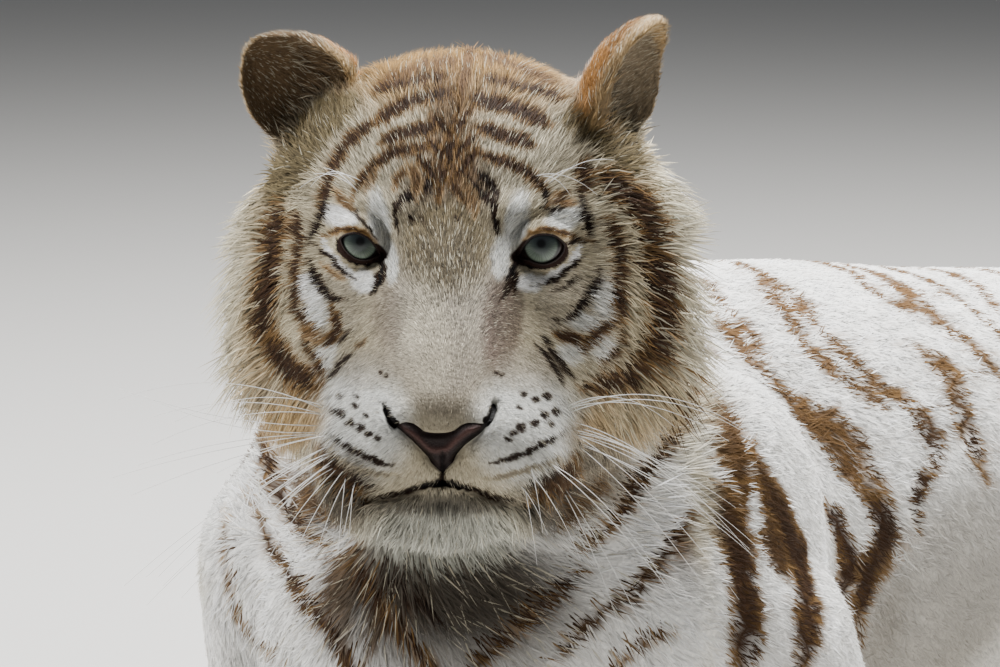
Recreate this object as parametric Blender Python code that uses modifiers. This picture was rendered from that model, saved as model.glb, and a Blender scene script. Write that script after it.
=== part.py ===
"""A life-size white tiger lying on its belly with its head up and turned to its left.

Units are metres, +Z up, with the floor at z = 0. The tiger faces -Y, and +X is its left.
The body is modelled in clay: lofted trunk, limbs and rounded muscle masses are merged by
a voxel remesh, smoothed, and then parted into named pieces with thin cuts.
"""

import math

import bmesh
import bpy
from mathutils import Euler, Matrix, Vector

# ---------------------------------------------------------------- driving dimensions
TRUNK_LENGTH = 1.12         # withers to the end of the rump, along the spine
BEND = math.radians(32)     # how far the spine turns to the tiger's left over the trunk
EYE_HEIGHT = 0.600
HEAD_TURN = math.radians(24)     # head yaw to the tiger's left
HEAD_PITCH = math.radians(15)    # head pitched down
HEAD_ROLL = math.radians(1)
EYE_MIDPOINT = Vector((0.121, -0.391, EYE_HEIGHT))
EYE_SPACING = 0.131
EYE_RADIUS = 0.0185
TAIL_LENGTH = 0.92
GAP = 0.0003                # thin cut between neighbouring pieces
FLOOR = 0.0

BODY_VOXEL = 0.008
HEAD_VOXEL = 0.0036
RING_POINTS = 24
EYE_POINTS = 14
EAR_POINTS = 14
CUTTER_POINTS = 12
BODY_TRIANGLES = 2500
HEAD_TRIANGLES = 1600
BEND_RADIUS = TRUNK_LENGTH / BEND
SHAPE_SMOOTHING = 12        # rounds of smoothing over the merged body
HEAD_SMOOTHING = 22

CREAM = (0.80, 0.76, 0.68, 1.0)
EAR_GREY = (0.42, 0.38, 0.33, 1.0)
NOSE_BROWN = (0.16, 0.09, 0.08, 1.0)
IRIS_GREY = (0.38, 0.44, 0.42, 1.0)


# ---------------------------------------------------------------- trunk and neck sizes
# distance behind the withers, half width, top height, bottom height, fullness of the section
TRUNK_STATIONS = (
    (-0.290, 0.070, 0.330, 0.150, 2.0),
    (-0.260, 0.125, 0.390, 0.095, 2.0),
    (-0.180, 0.172, 0.450, 0.045, 2.1),
    (-0.060, 0.200, 0.490, 0.020, 2.2),
    (0.060, 0.212, 0.515, 0.005, 2.2),
    (0.200, 0.220, 0.502, -0.006, 2.2),
    (0.400, 0.228, 0.478, -0.010, 2.2),
    (0.600, 0.224, 0.445, -0.010, 2.2),
    (0.780, 0.205, 0.425, -0.004, 2.1),
    (0.930, 0.180, 0.405, 0.020, 2.0),
    (1.050, 0.140, 0.352, 0.060, 2.0),
    (1.120, 0.080, 0.290, 0.110, 2.0),
)

# body coordinates of the neck's axis, half width and half height
NECK_STATIONS = (
    ((0.060, 0.000, 0.360), 0.155, 0.140),
    ((-0.060, 0.006, 0.395), 0.165, 0.162),
    ((-0.150, 0.025, 0.446), 0.160, 0.172),
    ((-0.215, 0.050, 0.498), 0.152, 0.168),
    ((-0.260, 0.070, 0.540), 0.142, 0.150),
)
WITHERS = ((0.075, 0.000, 0.415), (0.060, 0.130, 0.105), 0.25)     # place, half sizes, lean
BRISKET = ((0.020, -0.215, 0.300), (0.135, 0.105, 0.180), -0.35)

# ---------------------------------------------------------------- leg and paw sizes
# places in body coordinates for the left side: behind the withers, to the left, above the floor
SHOULDER = (-0.150, 0.150, 0.300)
ELBOW = (0.025, 0.222, 0.092)
WRIST = (-0.365, 0.185, 0.052)
ELBOW_SPREAD = {-1: 0.015, 1: 0.0}   # the right foreleg lies a little further out
WRIST_SPREAD = {-1: 0.030, 1: 0.0}
UPPER_ARM = (0.100, 0.175, 0.195)    # half sizes of the shoulder muscle
UPPER_ARM_IN = {-1: 0.020, 1: 0.002}  # how far it sits inward of the shoulder
FOREPAW = (0.068, 0.150)             # half width and length
HIP = (0.920, 0.135, 0.265)
KNEE = (0.600, 0.265, 0.205)
HOCK = (0.945, 0.270, 0.062)
FOOT = (0.640, 0.285, 0.050)
THIGH_MIDDLE = (0.820, 0.185, 0.212)
THIGH = (0.122, 0.235, 0.178)
HIND_PAW = (0.062, 0.140)
PAW_THICKNESS = 0.048
TOE_SPREAD = (-1.5, -0.5, 0.5, 1.5)

# ---------------------------------------------------------------- tail sizes
TAIL_BASE_RADIUS = 0.046
TAIL_TIP_RADIUS = 0.024
TAIL_BASE_HEIGHT = 0.200
TAIL_STEPS = 22
TAIL_ROOT = 1.080
TAIL_CUTS = (("tail_tip", 15, 22), ("tail_middle", 8, 15), ("tail_base", 2, 8))

# ---------------------------------------------------------------- head sizes
# Sections of the head across its forward axis. Each row holds the distance forward, the top, three points
# (left, up) down the side, and the bottom.
HEAD_SECTIONS = (
    (0.158, -0.056, (0.022, -0.060), (0.034, -0.075), (0.022, -0.094), -0.100),
    (0.152, -0.049, (0.033, -0.055), (0.050, -0.092), (0.036, -0.122), -0.130),
    (0.137, -0.040, (0.037, -0.050), (0.072, -0.103), (0.056, -0.146), -0.162),
    (0.112, -0.027, (0.039, -0.040), (0.087, -0.105), (0.070, -0.158), -0.186),
    (0.072, -0.009, (0.041, -0.022), (0.088, -0.102), (0.075, -0.162), -0.194),
    (0.035, 0.009, (0.044, -0.004), (0.096, -0.088), (0.088, -0.166), -0.196),
    (0.000, 0.029, (0.058, 0.013), (0.120, -0.066), (0.110, -0.166), -0.200),
    (-0.032, 0.058, (0.074, 0.038), (0.146, -0.054), (0.136, -0.166), -0.210),
    (-0.066, 0.083, (0.088, 0.059), (0.166, -0.052), (0.154, -0.170), -0.222),
    (-0.102, 0.098, (0.096, 0.071), (0.177, -0.054), (0.162, -0.172), -0.230),
    (-0.140, 0.101, (0.098, 0.074), (0.168, -0.050), (0.153, -0.164), -0.224),
    (-0.180, 0.092, (0.088, 0.064), (0.142, -0.040), (0.126, -0.136), -0.186),
    (-0.215, 0.066, (0.066, 0.044), (0.106, -0.032), (0.090, -0.100), -0.136),
)
# Rounded masses of the head: left, forward, up of the centre; half sizes in the same order; turn about the
# left axis.
# A mass off the middle is made on both sides.
HEAD_MASSES = (
    ((0.052, -0.034, 0.018), (0.046, 0.034, 0.022), 0.55),    # brow
    ((0.045, 0.103, -0.106), (0.044, 0.046, 0.040), 0.20),    # whisker pad
    ((0.000, 0.098, -0.158), (0.046, 0.036, 0.030), -0.15),   # chin
    ((0.086, -0.058, -0.040), (0.046, 0.060, 0.044), 0.10),   # cheekbone
)
SECTION_POINTS = 48
SECTION_STEPS = 3
EYE_HOLLOWS = (
    ((0.064, 0.004, -0.002), 0.006, 0.030),
    ((0.046, 0.016, -0.010), 0.006, 0.020),
)
EYE_CENTRE_FORWARD = -0.012
NOSE_MIDDLE = (0, -0.152, -0.074)
NOSE_HALF = (0.036, 0.022, 0.026)
MOUTH_FRONT = Vector((0, -0.150, -0.121))
MOUTH_CORNER = Vector((0, 0.010, -0.132))
JAW_HALF_WIDTH = 0.078

# ---------------------------------------------------------------- ear sizes
EAR_OUTER = (0.047, 0.030, 0.058)
EAR_HOLLOW = (0.039, 0.026, 0.049)
EAR_ROOT = (0.109, -0.124, 0.032)    # left, forward, up
EAR_TURN = {-1: math.radians(-14), 1: math.radians(62)}
EAR_LEAN = math.radians(20)
EAR_MIDDLE = Vector((0, 0, 0.040))
EAR_HOLLOW_MIDDLE = Vector((0, -0.015, 0.044))

# ---------------------------------------------------------------- where the body is parted
REACH = 0.60                # more than any cutter needs
FOREARM_LENGTH = 0.33
NECK_CUT = (Vector((0, -0.150, 0.425)), Vector((0.12, -0.55, 0.82)))     # a point of it, and its normal
CHEST_END = 0.270
RUMP_START = 0.780
SHOULDER_CUT = ((-0.030, 0.245, 0.220), (0.125, 0.195, 0.235), 0.20)
THIGH_CUT = ((0.810, 0.265, 0.210), (0.150, 0.290, 0.230))

# ---------------------------------------------------------------- frames
def spine_frame(along):
    """Ground point of the spine at a distance behind the withers, with its tailward and left directions."""
    if along <= 0:
        return Vector((0, along, 0)), Vector((0, 1, 0)), Vector((1, 0, 0))
    angle = along / BEND_RADIUS
    ground = Vector((BEND_RADIUS * (1 - math.cos(angle)), BEND_RADIUS * math.sin(angle), 0))
    tailward = Vector((math.sin(angle), math.cos(angle), 0))
    left = Vector((math.cos(angle), -math.sin(angle), 0))
    return ground, tailward, left


def on_body(along, left, height):
    """World point from body coordinates: distance behind the withers, to the left, and above the floor."""
    ground, _, side = spine_frame(along)
    return ground + side * left + Vector((0, 0, height))


HEAD_FRAME = (
    Matrix.Translation(EYE_MIDPOINT)
    @ Matrix.Rotation(HEAD_TURN, 4, "Z")
    @ Matrix.Rotation(HEAD_PITCH, 4, "X")
    @ Matrix.Rotation(HEAD_ROLL, 4, "Y")
)


def on_head(left, forward, up):
    """World point from head coordinates: to the tiger's left, forward and up from between its eyes."""
    return HEAD_FRAME @ Vector((left, -forward, up))


# ---------------------------------------------------------------- scene and mesh helpers
def clear_scene():
    """Remove whatever the startup file holds."""
    for old in list(bpy.data.objects):
        bpy.data.objects.remove(old, do_unlink=True)


def collection_named(name, shown=True):
    """A new collection of the scene; a hidden one holds cutters and guides."""
    made = bpy.data.collections.new(name)
    bpy.context.scene.collection.children.link(made)
    made.hide_render = not shown
    return made


def material(name, colour, roughness):
    """A plain Principled material."""
    made = bpy.data.materials.new(name)
    made.use_nodes = True
    shader = made.node_tree.nodes["Principled BSDF"]
    shader.inputs["Base Color"].default_value = colour
    shader.inputs["Roughness"].default_value = roughness
    shader.inputs["Metallic"].default_value = 0.0
    return made


def add_object(name, mesh, collection):
    """Link a new object that shows this mesh."""
    made = bpy.data.objects.new(name, mesh)
    collection.objects.link(made)
    return made


def add_ellipsoid(clay, centre, radii, turn, frame, points=RING_POINTS):
    """Add an ellipsoid to the clay. Centre and turn are in the coordinates of frame."""
    shape = (
        frame
        @ Matrix.Translation(centre)
        @ Euler(turn).to_matrix().to_4x4()
        @ Matrix.Diagonal((*radii, 1))
    )
    bmesh.ops.create_uvsphere(clay, u_segments=points, v_segments=points // 2, radius=1, matrix=shape)


def ring(centre, wide, tall, fullness):
    """Points of a rounded section round centre; wide and tall are its half axes as vectors."""
    power = 2 / fullness
    made = []
    for step in range(RING_POINTS):
        angle = 2 * math.pi * step / RING_POINTS
        across = math.copysign(abs(math.cos(angle)) ** power, math.cos(angle))
        upward = math.copysign(abs(math.sin(angle)) ** power, math.sin(angle))
        made.append(centre + wide * across + tall * upward)
    return made


def add_loft(clay, rings):
    """Add a closed loft through rings of points, which all have the same number of points."""
    loops = [[clay.verts.new(point) for point in points] for points in rings]
    faces = []
    for near, far in zip(loops, loops[1:]):
        for step in range(len(near)):
            following = (step + 1) % len(near)
            faces.append(clay.faces.new((near[step], near[following], far[following], far[step])))
    faces.append(clay.faces.new(loops[0][::-1]))
    faces.append(clay.faces.new(loops[-1]))
    bmesh.ops.recalc_face_normals(clay, faces=faces)


def add_tube(clay, stations):
    """Add a limb through stations of (point, half width, half height), with round ends."""
    rings = []
    for index, (centre, half_width, half_height) in enumerate(stations):
        before = stations[max(index - 1, 0)][0]
        after = stations[min(index + 1, len(stations) - 1)][0]
        along = (after - before).normalized()
        wide = along.cross(Vector((0, 0, 1)))
        if wide.length < 0.2:
            wide = Vector((1, 0, 0))
        wide.normalize()
        tall = wide.cross(along).normalized()
        if index in (0, len(stations) - 1):
            cap = -along if index == 0 else along
            small = ring(centre + cap * half_width * 0.7, wide * half_width * 0.6, tall * half_height * 0.6, 2)
            full = ring(centre, wide * half_width, tall * half_height, 2)
            rings.extend([small, full] if index == 0 else [full, small])
        else:
            rings.append(ring(centre, wide * half_width, tall * half_height, 2))
    add_loft(clay, rings)


def merged_clay(name, clay, voxel, smoothing, triangles, collection):
    """Merge the clay's overlapping shapes into one smooth surface of about so many triangles."""
    mesh = bpy.data.meshes.new(name)
    clay.to_mesh(mesh)
    clay.free()
    rough = add_object(name, mesh, collection)
    remesh = rough.modifiers.new("merge", "REMESH")
    remesh.mode = "VOXEL"
    remesh.voxel_size = voxel
    smooth = rough.modifiers.new("smooth", "SMOOTH")
    smooth.factor = 0.5
    smooth.iterations = smoothing
    bpy.context.view_layer.update()
    faces = len(rough.evaluated_get(bpy.context.evaluated_depsgraph_get()).data.polygons)
    fewer = rough.modifiers.new("fewer", "DECIMATE")
    fewer.ratio = triangles / (2 * faces)
    return baked(rough)


def baked(source):
    """Replace an object's mesh by its evaluated one, without modifiers."""
    bpy.context.view_layer.update()
    evaluated = source.evaluated_get(bpy.context.evaluated_depsgraph_get())
    mesh = bpy.data.meshes.new_from_object(evaluated)
    source.modifiers.clear()
    source.data = mesh
    return source


def cut_flat_on_floor(piece):
    """Slice off what reaches below the floor, which leaves small flats at floor level."""
    shape = bmesh.new()
    shape.from_mesh(piece.data)
    geometry = shape.verts[:] + shape.edges[:] + shape.faces[:]
    bmesh.ops.bisect_plane(shape, geom=geometry, plane_co=(0, 0, FLOOR), plane_no=(0, 0, -1), clear_outer=True)
    bmesh.ops.holes_fill(shape, edges=[edge for edge in shape.edges if edge.is_boundary])
    bmesh.ops.triangulate(shape, faces=shape.faces[:])
    shape.to_mesh(piece.data)
    shape.free()


# ---------------------------------------------------------------- trunk and neck
def add_trunk(clay):
    """Trunk as a loft along the bent spine, with withers, brisket and neck."""
    rings = []
    for along, half_width, top, bottom, fullness in TRUNK_STATIONS:
        _, _, side = spine_frame(along)
        centre = on_body(along, 0, (top + bottom) / 2)
        rings.append(ring(centre, side * half_width, Vector((0, 0, (top - bottom) / 2)), fullness))
    add_loft(clay, rings)
    add_tube(clay, [(on_body(*place), wide, tall) for place, wide, tall in NECK_STATIONS])
    place, half_sizes, lean = WITHERS
    for side in (-1, 1):
        add_ellipsoid(clay, Vector((place[0] * side, *place[1:])), half_sizes, (lean, 0, 0), Matrix())
    place, half_sizes, lean = BRISKET
    add_ellipsoid(clay, Vector(place), half_sizes, (lean, 0, 0), Matrix())


# ---------------------------------------------------------------- legs
def foreleg_joints(side):
    """Shoulder, elbow and wrist of a foreleg. Side is 1 for the left."""
    elbow = Vector(ELBOW) + Vector((0, ELBOW_SPREAD[side], 0))
    wrist = Vector(WRIST) + Vector((0, WRIST_SPREAD[side], 0))
    return [on_body(along, left * side, height) for along, left, height in (SHOULDER, elbow, wrist)]


def add_foreleg(clay, side):
    """Shoulder, upper arm, forearm laid forward on the floor, and paw."""
    shoulder, elbow, wrist = foreleg_joints(side)
    muscle = shoulder + Vector((-UPPER_ARM_IN[side] * side, 0.115, -0.026))
    add_ellipsoid(clay, muscle, UPPER_ARM, (0.40, 0.12 * side, 0), Matrix())
    add_tube(clay, [
        (shoulder, 0.085, 0.100),
        (shoulder.lerp(elbow, 0.5) + Vector((0.012 * side, 0.020, 0)), 0.086, 0.128),
        (elbow, 0.070, 0.100),
    ])
    add_tube(clay, [
        (elbow + Vector((0, 0.035, -0.010)), 0.054, 0.060),
        (elbow.lerp(wrist, 0.22), 0.068, 0.080),
        (elbow.lerp(wrist, 0.60), 0.056, 0.062),
        (wrist, 0.051, 0.051),
    ])
    add_paw(clay, wrist, Vector((-0.05 * side, -1, 0)).normalized(), *FOREPAW)


def add_paw(clay, wrist, forward, half_width, length):
    """A broad paw that lies on the floor ahead of the wrist, with four toes."""
    across = forward.cross(Vector((0, 0, 1)))
    heading = math.atan2(forward.x, -forward.y)
    turn = Matrix.Rotation(heading, 4, "Z")
    back = Vector((wrist.x, wrist.y, 0))
    middle = back + forward * length * 0.42
    add_ellipsoid(clay, Vector((0, 0, 0)), (half_width * 0.92, length * 0.55, PAW_THICKNESS), (0, 0, 0),
                  Matrix.Translation(middle + Vector((0, 0, PAW_THICKNESS * 0.75))) @ turn)
    for toe in TOE_SPREAD:
        reach = length * (0.93 - 0.06 * abs(toe) ** 1.6)
        centre = back + forward * reach + across * toe * half_width * 0.50 + Vector((0, 0, 0.026))
        add_ellipsoid(clay, Vector((0, 0, 0)), (half_width * 0.30, length * 0.27, 0.034), (0, 0, 0),
                      Matrix.Translation(centre) @ turn)


def add_hindleg(clay, side):
    """Folded hind leg beside the belly: thigh, shank and long foot. Side is 1 for the left."""
    hip, knee, hock, foot, thigh = [
        on_body(along, left * side, height) for along, left, height in (HIP, KNEE, HOCK, FOOT, THIGH_MIDDLE)
    ]
    add_ellipsoid(clay, thigh, THIGH, (-0.10, 0.10 * side, -THIGH_MIDDLE[0] / BEND_RADIUS), Matrix())
    add_tube(clay, [
        (hip, 0.105, 0.120),
        (hip.lerp(knee, 0.5), 0.105, 0.140),
        (knee, 0.080, 0.095),
    ])
    add_tube(clay, [
        (knee + Vector((0, 0, -0.010)), 0.060, 0.070),
        (knee.lerp(hock, 0.45), 0.066, 0.080),
        (hock, 0.044, 0.048),
    ])
    add_tube(clay, [
        (hock, 0.042, 0.046),
        (hock.lerp(foot, 0.5), 0.046, 0.044),
        (foot, 0.052, 0.046),
    ])
    _, tailward, _ = spine_frame(FOOT[0])
    add_paw(clay, foot, -tailward, *HIND_PAW)


# ---------------------------------------------------------------- tail
def tail_stations():
    """Points and radii down from the rump, then along the floor in a curl to the left."""
    ground, tailward, _ = spine_frame(TAIL_ROOT)
    point = Vector((ground.x, ground.y, 0))
    heading = math.atan2(tailward.x, tailward.y)
    step = TAIL_LENGTH / TAIL_STEPS
    stations = []
    for index in range(TAIL_STEPS + 1):
        share = index / TAIL_STEPS
        radius = TAIL_BASE_RADIUS + (TAIL_TIP_RADIUS - TAIL_BASE_RADIUS) * share
        drop = 0.5 + 0.5 * math.cos(math.pi * min(share / 0.30, 1))
        height = radius - 0.003 + (TAIL_BASE_HEIGHT - radius) * drop
        stations.append((point + Vector((0, 0, height)), radius, radius))
        curl = 2.4 * math.sin(math.pi * share) ** 2 + 1.0 * (1 - share)
        heading += curl * step
        point = point + Vector((math.sin(heading), math.cos(heading), 0)) * step
    return stations


# ---------------------------------------------------------------- head
def curve_through(before, start, end, after, share):
    """Catmull-Rom point between start and end."""
    square = share * share
    cube = square * share
    return 0.5 * (2 * start + (end - before) * share + (2 * before - 5 * start + 4 * end - after) * square
                  + (3 * start - before - 3 * end + after) * cube)


def closed_curve(corners, count):
    """Evenly shared points of a smooth closed curve through corners."""
    total = len(corners)
    points = []
    for step in range(count):
        place = step * total / count
        index = int(place)
        near = [corners[(index + shift) % total] for shift in (-1, 0, 1, 2)]
        points.append(curve_through(*near, place - index))
    return points


def head_section(row):
    """Closed outline of one row of HEAD_SECTIONS, in head coordinates turned to Blender's axes."""
    forward, top, *side, bottom = row
    half = [(0.0, top), *side, (0.0, bottom)]
    mirrored = [(-left, up) for left, up in reversed(side)]
    return closed_curve([Vector((left, -forward, up)) for left, up in half + mirrored], SECTION_POINTS)


def add_head(clay):
    """Head as a loft through its sections, with brow, cheekbone, whisker pads and chin."""
    outlines = [head_section(row) for row in HEAD_SECTIONS]
    rings = []
    last = len(outlines) - 1
    for index in range(last):
        near = [outlines[min(max(index + shift, 0), last)] for shift in (-1, 0, 1, 2)]
        for step in range(SECTION_STEPS):
            share = step / SECTION_STEPS
            rings.append([curve_through(*points, share) for points in zip(*near)])
    rings.append(outlines[last])
    add_loft(clay, [[HEAD_FRAME @ point for point in points] for points in rings])
    for (left, forward, up), (wide, long, tall), turn in HEAD_MASSES:
        for side in ((-1, 1) if left else (1,)):
            middle = Vector((left * side, -forward, up))
            add_ellipsoid(clay, middle, (wide, long, tall), (turn, 0, 0), HEAD_FRAME)


def press_eye_hollows(head):
    """Press a shallow hollow round each eye and beside the root of the nose."""
    for side in (-1, 1):
        for (left, forward, up), depth, reach in EYE_HOLLOWS:
            middle = on_head(left * side, forward, up)
            inward = (HEAD_FRAME.to_3x3() @ Vector((-0.35 * side, 1, 0))).normalized()
            for vertex in head.data.vertices:
                distance = (vertex.co - middle).length
                vertex.co += inward * depth * math.exp(-((distance / reach) ** 2))


# ---------------------------------------------------------------- ears
def ear_frame(side):
    """Frame of an ear: its cup opens along -Y and its tip points along +Z."""
    left, forward, up = EAR_ROOT
    return (
        HEAD_FRAME
        @ Matrix.Translation((left * side, -forward, up))
        @ Matrix.Rotation(EAR_LEAN * side, 4, "Y")
        @ Matrix.Rotation(EAR_TURN[side], 4, "Z")
        @ Matrix.Rotation(math.radians(-8), 4, "X")
    )


def ellipsoid_object(name, centre, radii, turn, frame, collection, points=RING_POINTS):
    """An ellipsoid as an object of its own."""
    shape = bmesh.new()
    add_ellipsoid(shape, centre, radii, turn, frame, points)
    mesh = bpy.data.meshes.new(name)
    shape.to_mesh(mesh)
    shape.free()
    return add_object(name, mesh, collection)


def boolean(target, other, operation):
    """Apply a Boolean of other to target."""
    step = target.modifiers.new(operation.lower(), "BOOLEAN")
    step.operation = operation
    step.object = other
    return baked(target)


def add_ear(side, collection, cutters):
    """A rounded ear: a thick shell with its hollow at the front."""
    name = side_name("ear", side)
    frame = ear_frame(side)
    ear = ellipsoid_object(name, EAR_MIDDLE, EAR_OUTER, (0, 0, 0), frame, collection, EAR_POINTS)
    hollow = ellipsoid_object(name + "_hollow", EAR_HOLLOW_MIDDLE, EAR_HOLLOW, (0, 0, 0), frame, cutters,
                              EAR_POINTS)
    return boolean(ear, hollow, "DIFFERENCE")


# ---------------------------------------------------------------- parting
def side_name(name, side):
    """Name of a piece that comes in a left and a right."""
    return name + ("_left" if side > 0 else "_right")


def frame_at(place, forward, upward=Vector((0, 0, 1))):
    """Frame at a place with -Y along forward."""
    back = -forward.normalized()
    left = back.cross(upward).normalized()
    upright = left.cross(back)
    turn = Matrix((left, back, upright)).transposed()
    return Matrix.Translation(place) @ turn.to_4x4()


def box_cutter(frame, low, high):
    """A maker of box cutters between two corners in frame, grown by the amount it is called with."""
    def make(name, grow, collection):
        size = Vector(high) - Vector(low)
        middle = (Vector(high) + Vector(low)) / 2
        shape = bmesh.new()
        bmesh.ops.create_cube(shape, size=1, matrix=frame @ Matrix.Translation(middle) @ Matrix.Diagonal(
            (size.x + 2 * grow, size.y + 2 * grow, size.z + 2 * grow, 1)))
        mesh = bpy.data.meshes.new(name)
        shape.to_mesh(mesh)
        shape.free()
        return add_object(name, mesh, collection)
    return make


def ellipsoid_cutter(frame, radii):
    """A maker of ellipsoid cutters round the origin of frame, grown by the amount it is called with."""
    def make(name, grow, collection):
        return ellipsoid_object(name, Vector((0, 0, 0)), [radius + grow for radius in radii], (0, 0, 0), frame,
                                collection, CUTTER_POINTS)
    return make


def drop_crumbs(piece):
    """Keep only the largest closed body of a piece."""
    shape = bmesh.new()
    shape.from_mesh(piece.data)
    waiting = set(shape.verts)
    bodies = []
    while waiting:
        body = set()
        reached = [waiting.pop()]
        while reached:
            vertex = reached.pop()
            body.add(vertex)
            for edge in vertex.link_edges:
                other = edge.other_vert(vertex)
                if other in waiting:
                    waiting.remove(other)
                    reached.append(other)
        bodies.append(body)
    bodies.sort(key=len)
    crumbs = [vertex for body in bodies[:-1] for vertex in body]
    bmesh.ops.delete(shape, geom=crumbs, context="VERTS")
    shape.to_mesh(piece.data)
    shape.free()


def part_off(rest, name, cutter, collection, cutters):
    """Take the piece inside the cutter off the rest, with a thin gap between the two."""
    piece = add_object(name, rest.data.copy(), collection)
    boolean(piece, cutter(name + "_piece", 0, cutters), "INTERSECT")
    boolean(rest, cutter(name + "_gap", GAP, cutters), "DIFFERENCE")
    return piece


def grown(source, amount, name, cutters):
    """A copy of an object with its surface moved out, to cut room for it in its neighbours."""
    copy = add_object(name, source.data.copy(), cutters)
    swell = copy.modifiers.new("swell", "DISPLACE")
    swell.strength = amount
    swell.mid_level = 0
    return baked(copy)


def on_floor(point):
    """The point of the floor below a point."""
    return Vector((point.x, point.y, FLOOR))


def side_span(side, inner, outer):
    """Low and high X of a cutter that reaches this far towards the belly and away from it."""
    return sorted((-inner * side, outer * side))


def part_foreleg(body, side, collection, cutters):
    """Part a foreleg into paw, forearm and upper arm with shoulder."""
    _, elbow, wrist = foreleg_joints(side)
    frame = frame_at(on_floor(wrist), on_floor(wrist) - on_floor(elbow))
    low, high = side_span(side, 0.088, 0.150)
    paw = box_cutter(frame, (-0.12, -REACH, -0.05), (0.12, 0.0, 0.20))
    forearm = box_cutter(frame, (low, -0.01, -0.05), (high, FOREARM_LENGTH, 0.150))
    (along, left, height), half_sizes, lean = SHOULDER_CUT
    middle = Matrix.Translation(on_body(along, left * side, height))
    shoulder = ellipsoid_cutter(middle @ Matrix.Rotation(lean, 4, "X"), half_sizes)
    return [
        part_off(body, side_name("forepaw", side), paw, collection, cutters),
        part_off(body, side_name("forearm", side), forearm, collection, cutters),
        part_off(body, side_name("shoulder", side), shoulder, collection, cutters),
    ]


def part_hindleg(body, side, collection, cutters):
    """Part a hind leg into paw, shank with hock, and thigh."""
    _, tailward, _ = spine_frame(FOOT[0])
    low, high = side_span(side, 0.055, 0.150)
    ankle = on_floor(on_body(FOOT[0], FOOT[1] * side, 0))
    paw = box_cutter(frame_at(ankle, -tailward), (low, -0.30, -0.05), (high, 0.0, 0.105))
    _, tailward, _ = spine_frame(THIGH_MIDDLE[0])
    low, high = side_span(side, 0.066, 0.150)
    middle = on_body(THIGH_MIDDLE[0] - 0.02, 0.300 * side, 0)
    shank = box_cutter(frame_at(middle, -tailward), (low, -0.30, -0.05), (high, 0.30, 0.105))
    (along, left, height), half_sizes = THIGH_CUT
    turn = Matrix.Rotation(-along / BEND_RADIUS, 4, "Z")
    thigh = ellipsoid_cutter(Matrix.Translation(on_body(along, left * side, height)) @ turn, half_sizes)
    return [
        part_off(body, side_name("hind_paw", side), paw, collection, cutters),
        part_off(body, side_name("shank", side), shank, collection, cutters),
        part_off(body, side_name("thigh", side), thigh, collection, cutters),
    ]


def part_tail(body, collection, cutters):
    """Part the tail into three lengths, from the tip to the base."""
    stations = tail_stations()
    pieces = []
    for name, first, last in TAIL_CUTS:
        start, end = stations[first][0], stations[last][0]
        chord = end - start
        cutter = box_cutter(frame_at(start, chord), (-0.12, -chord.length - 0.08, -0.16), (0.12, 0, 0.16))
        pieces.append(part_off(body, name, cutter, collection, cutters))
    return pieces


def part_trunk(body, collection, cutters):
    """Part the neck, chest and rump from the belly."""
    neck = box_cutter(frame_at(*NECK_CUT), (-0.26, -REACH, -0.30), (0.26, 0, 0.30))
    pieces = [part_off(body, "neck", neck, collection, cutters)]
    for name, along, ahead, behind in (("chest", CHEST_END, -REACH, 0.0), ("rump", RUMP_START, 0.0, REACH)):
        _, tailward, _ = spine_frame(along)
        middle = on_body(along, 0, 0.25)
        slab = box_cutter(frame_at(middle, -tailward), (-0.45, ahead, -0.40), (0.45, behind, 0.40))
        pieces.append(part_off(body, name, slab, collection, cutters))
    return pieces


def part_head(head, collection, cutters):
    """Part the nose leather and the lower jaw from the head."""
    nose = ellipsoid_cutter(HEAD_FRAME @ Matrix.Translation(NOSE_MIDDLE), NOSE_HALF)
    jaw_frame = HEAD_FRAME @ frame_at(MOUTH_CORNER, MOUTH_FRONT - MOUTH_CORNER)
    jaw = box_cutter(jaw_frame, (-JAW_HALF_WIDTH, -REACH, -0.12), (JAW_HALF_WIDTH, 0, 0))
    return [
        part_off(head, "nose", nose, collection, cutters),
        part_off(head, "lower_jaw", jaw, collection, cutters),
    ]


def centre_on_floor(pieces):
    """Move the pieces together so that the origin is at the middle of their box, at floor level."""
    corners = [vertex.co for piece in pieces for vertex in piece.data.vertices]
    low = Vector([min(corner[axis] for corner in corners) for axis in range(3)])
    high = Vector([max(corner[axis] for corner in corners) for axis in range(3)])
    for piece in pieces:
        piece.data.transform(Matrix.Translation(-on_floor((low + high) / 2)))


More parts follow.
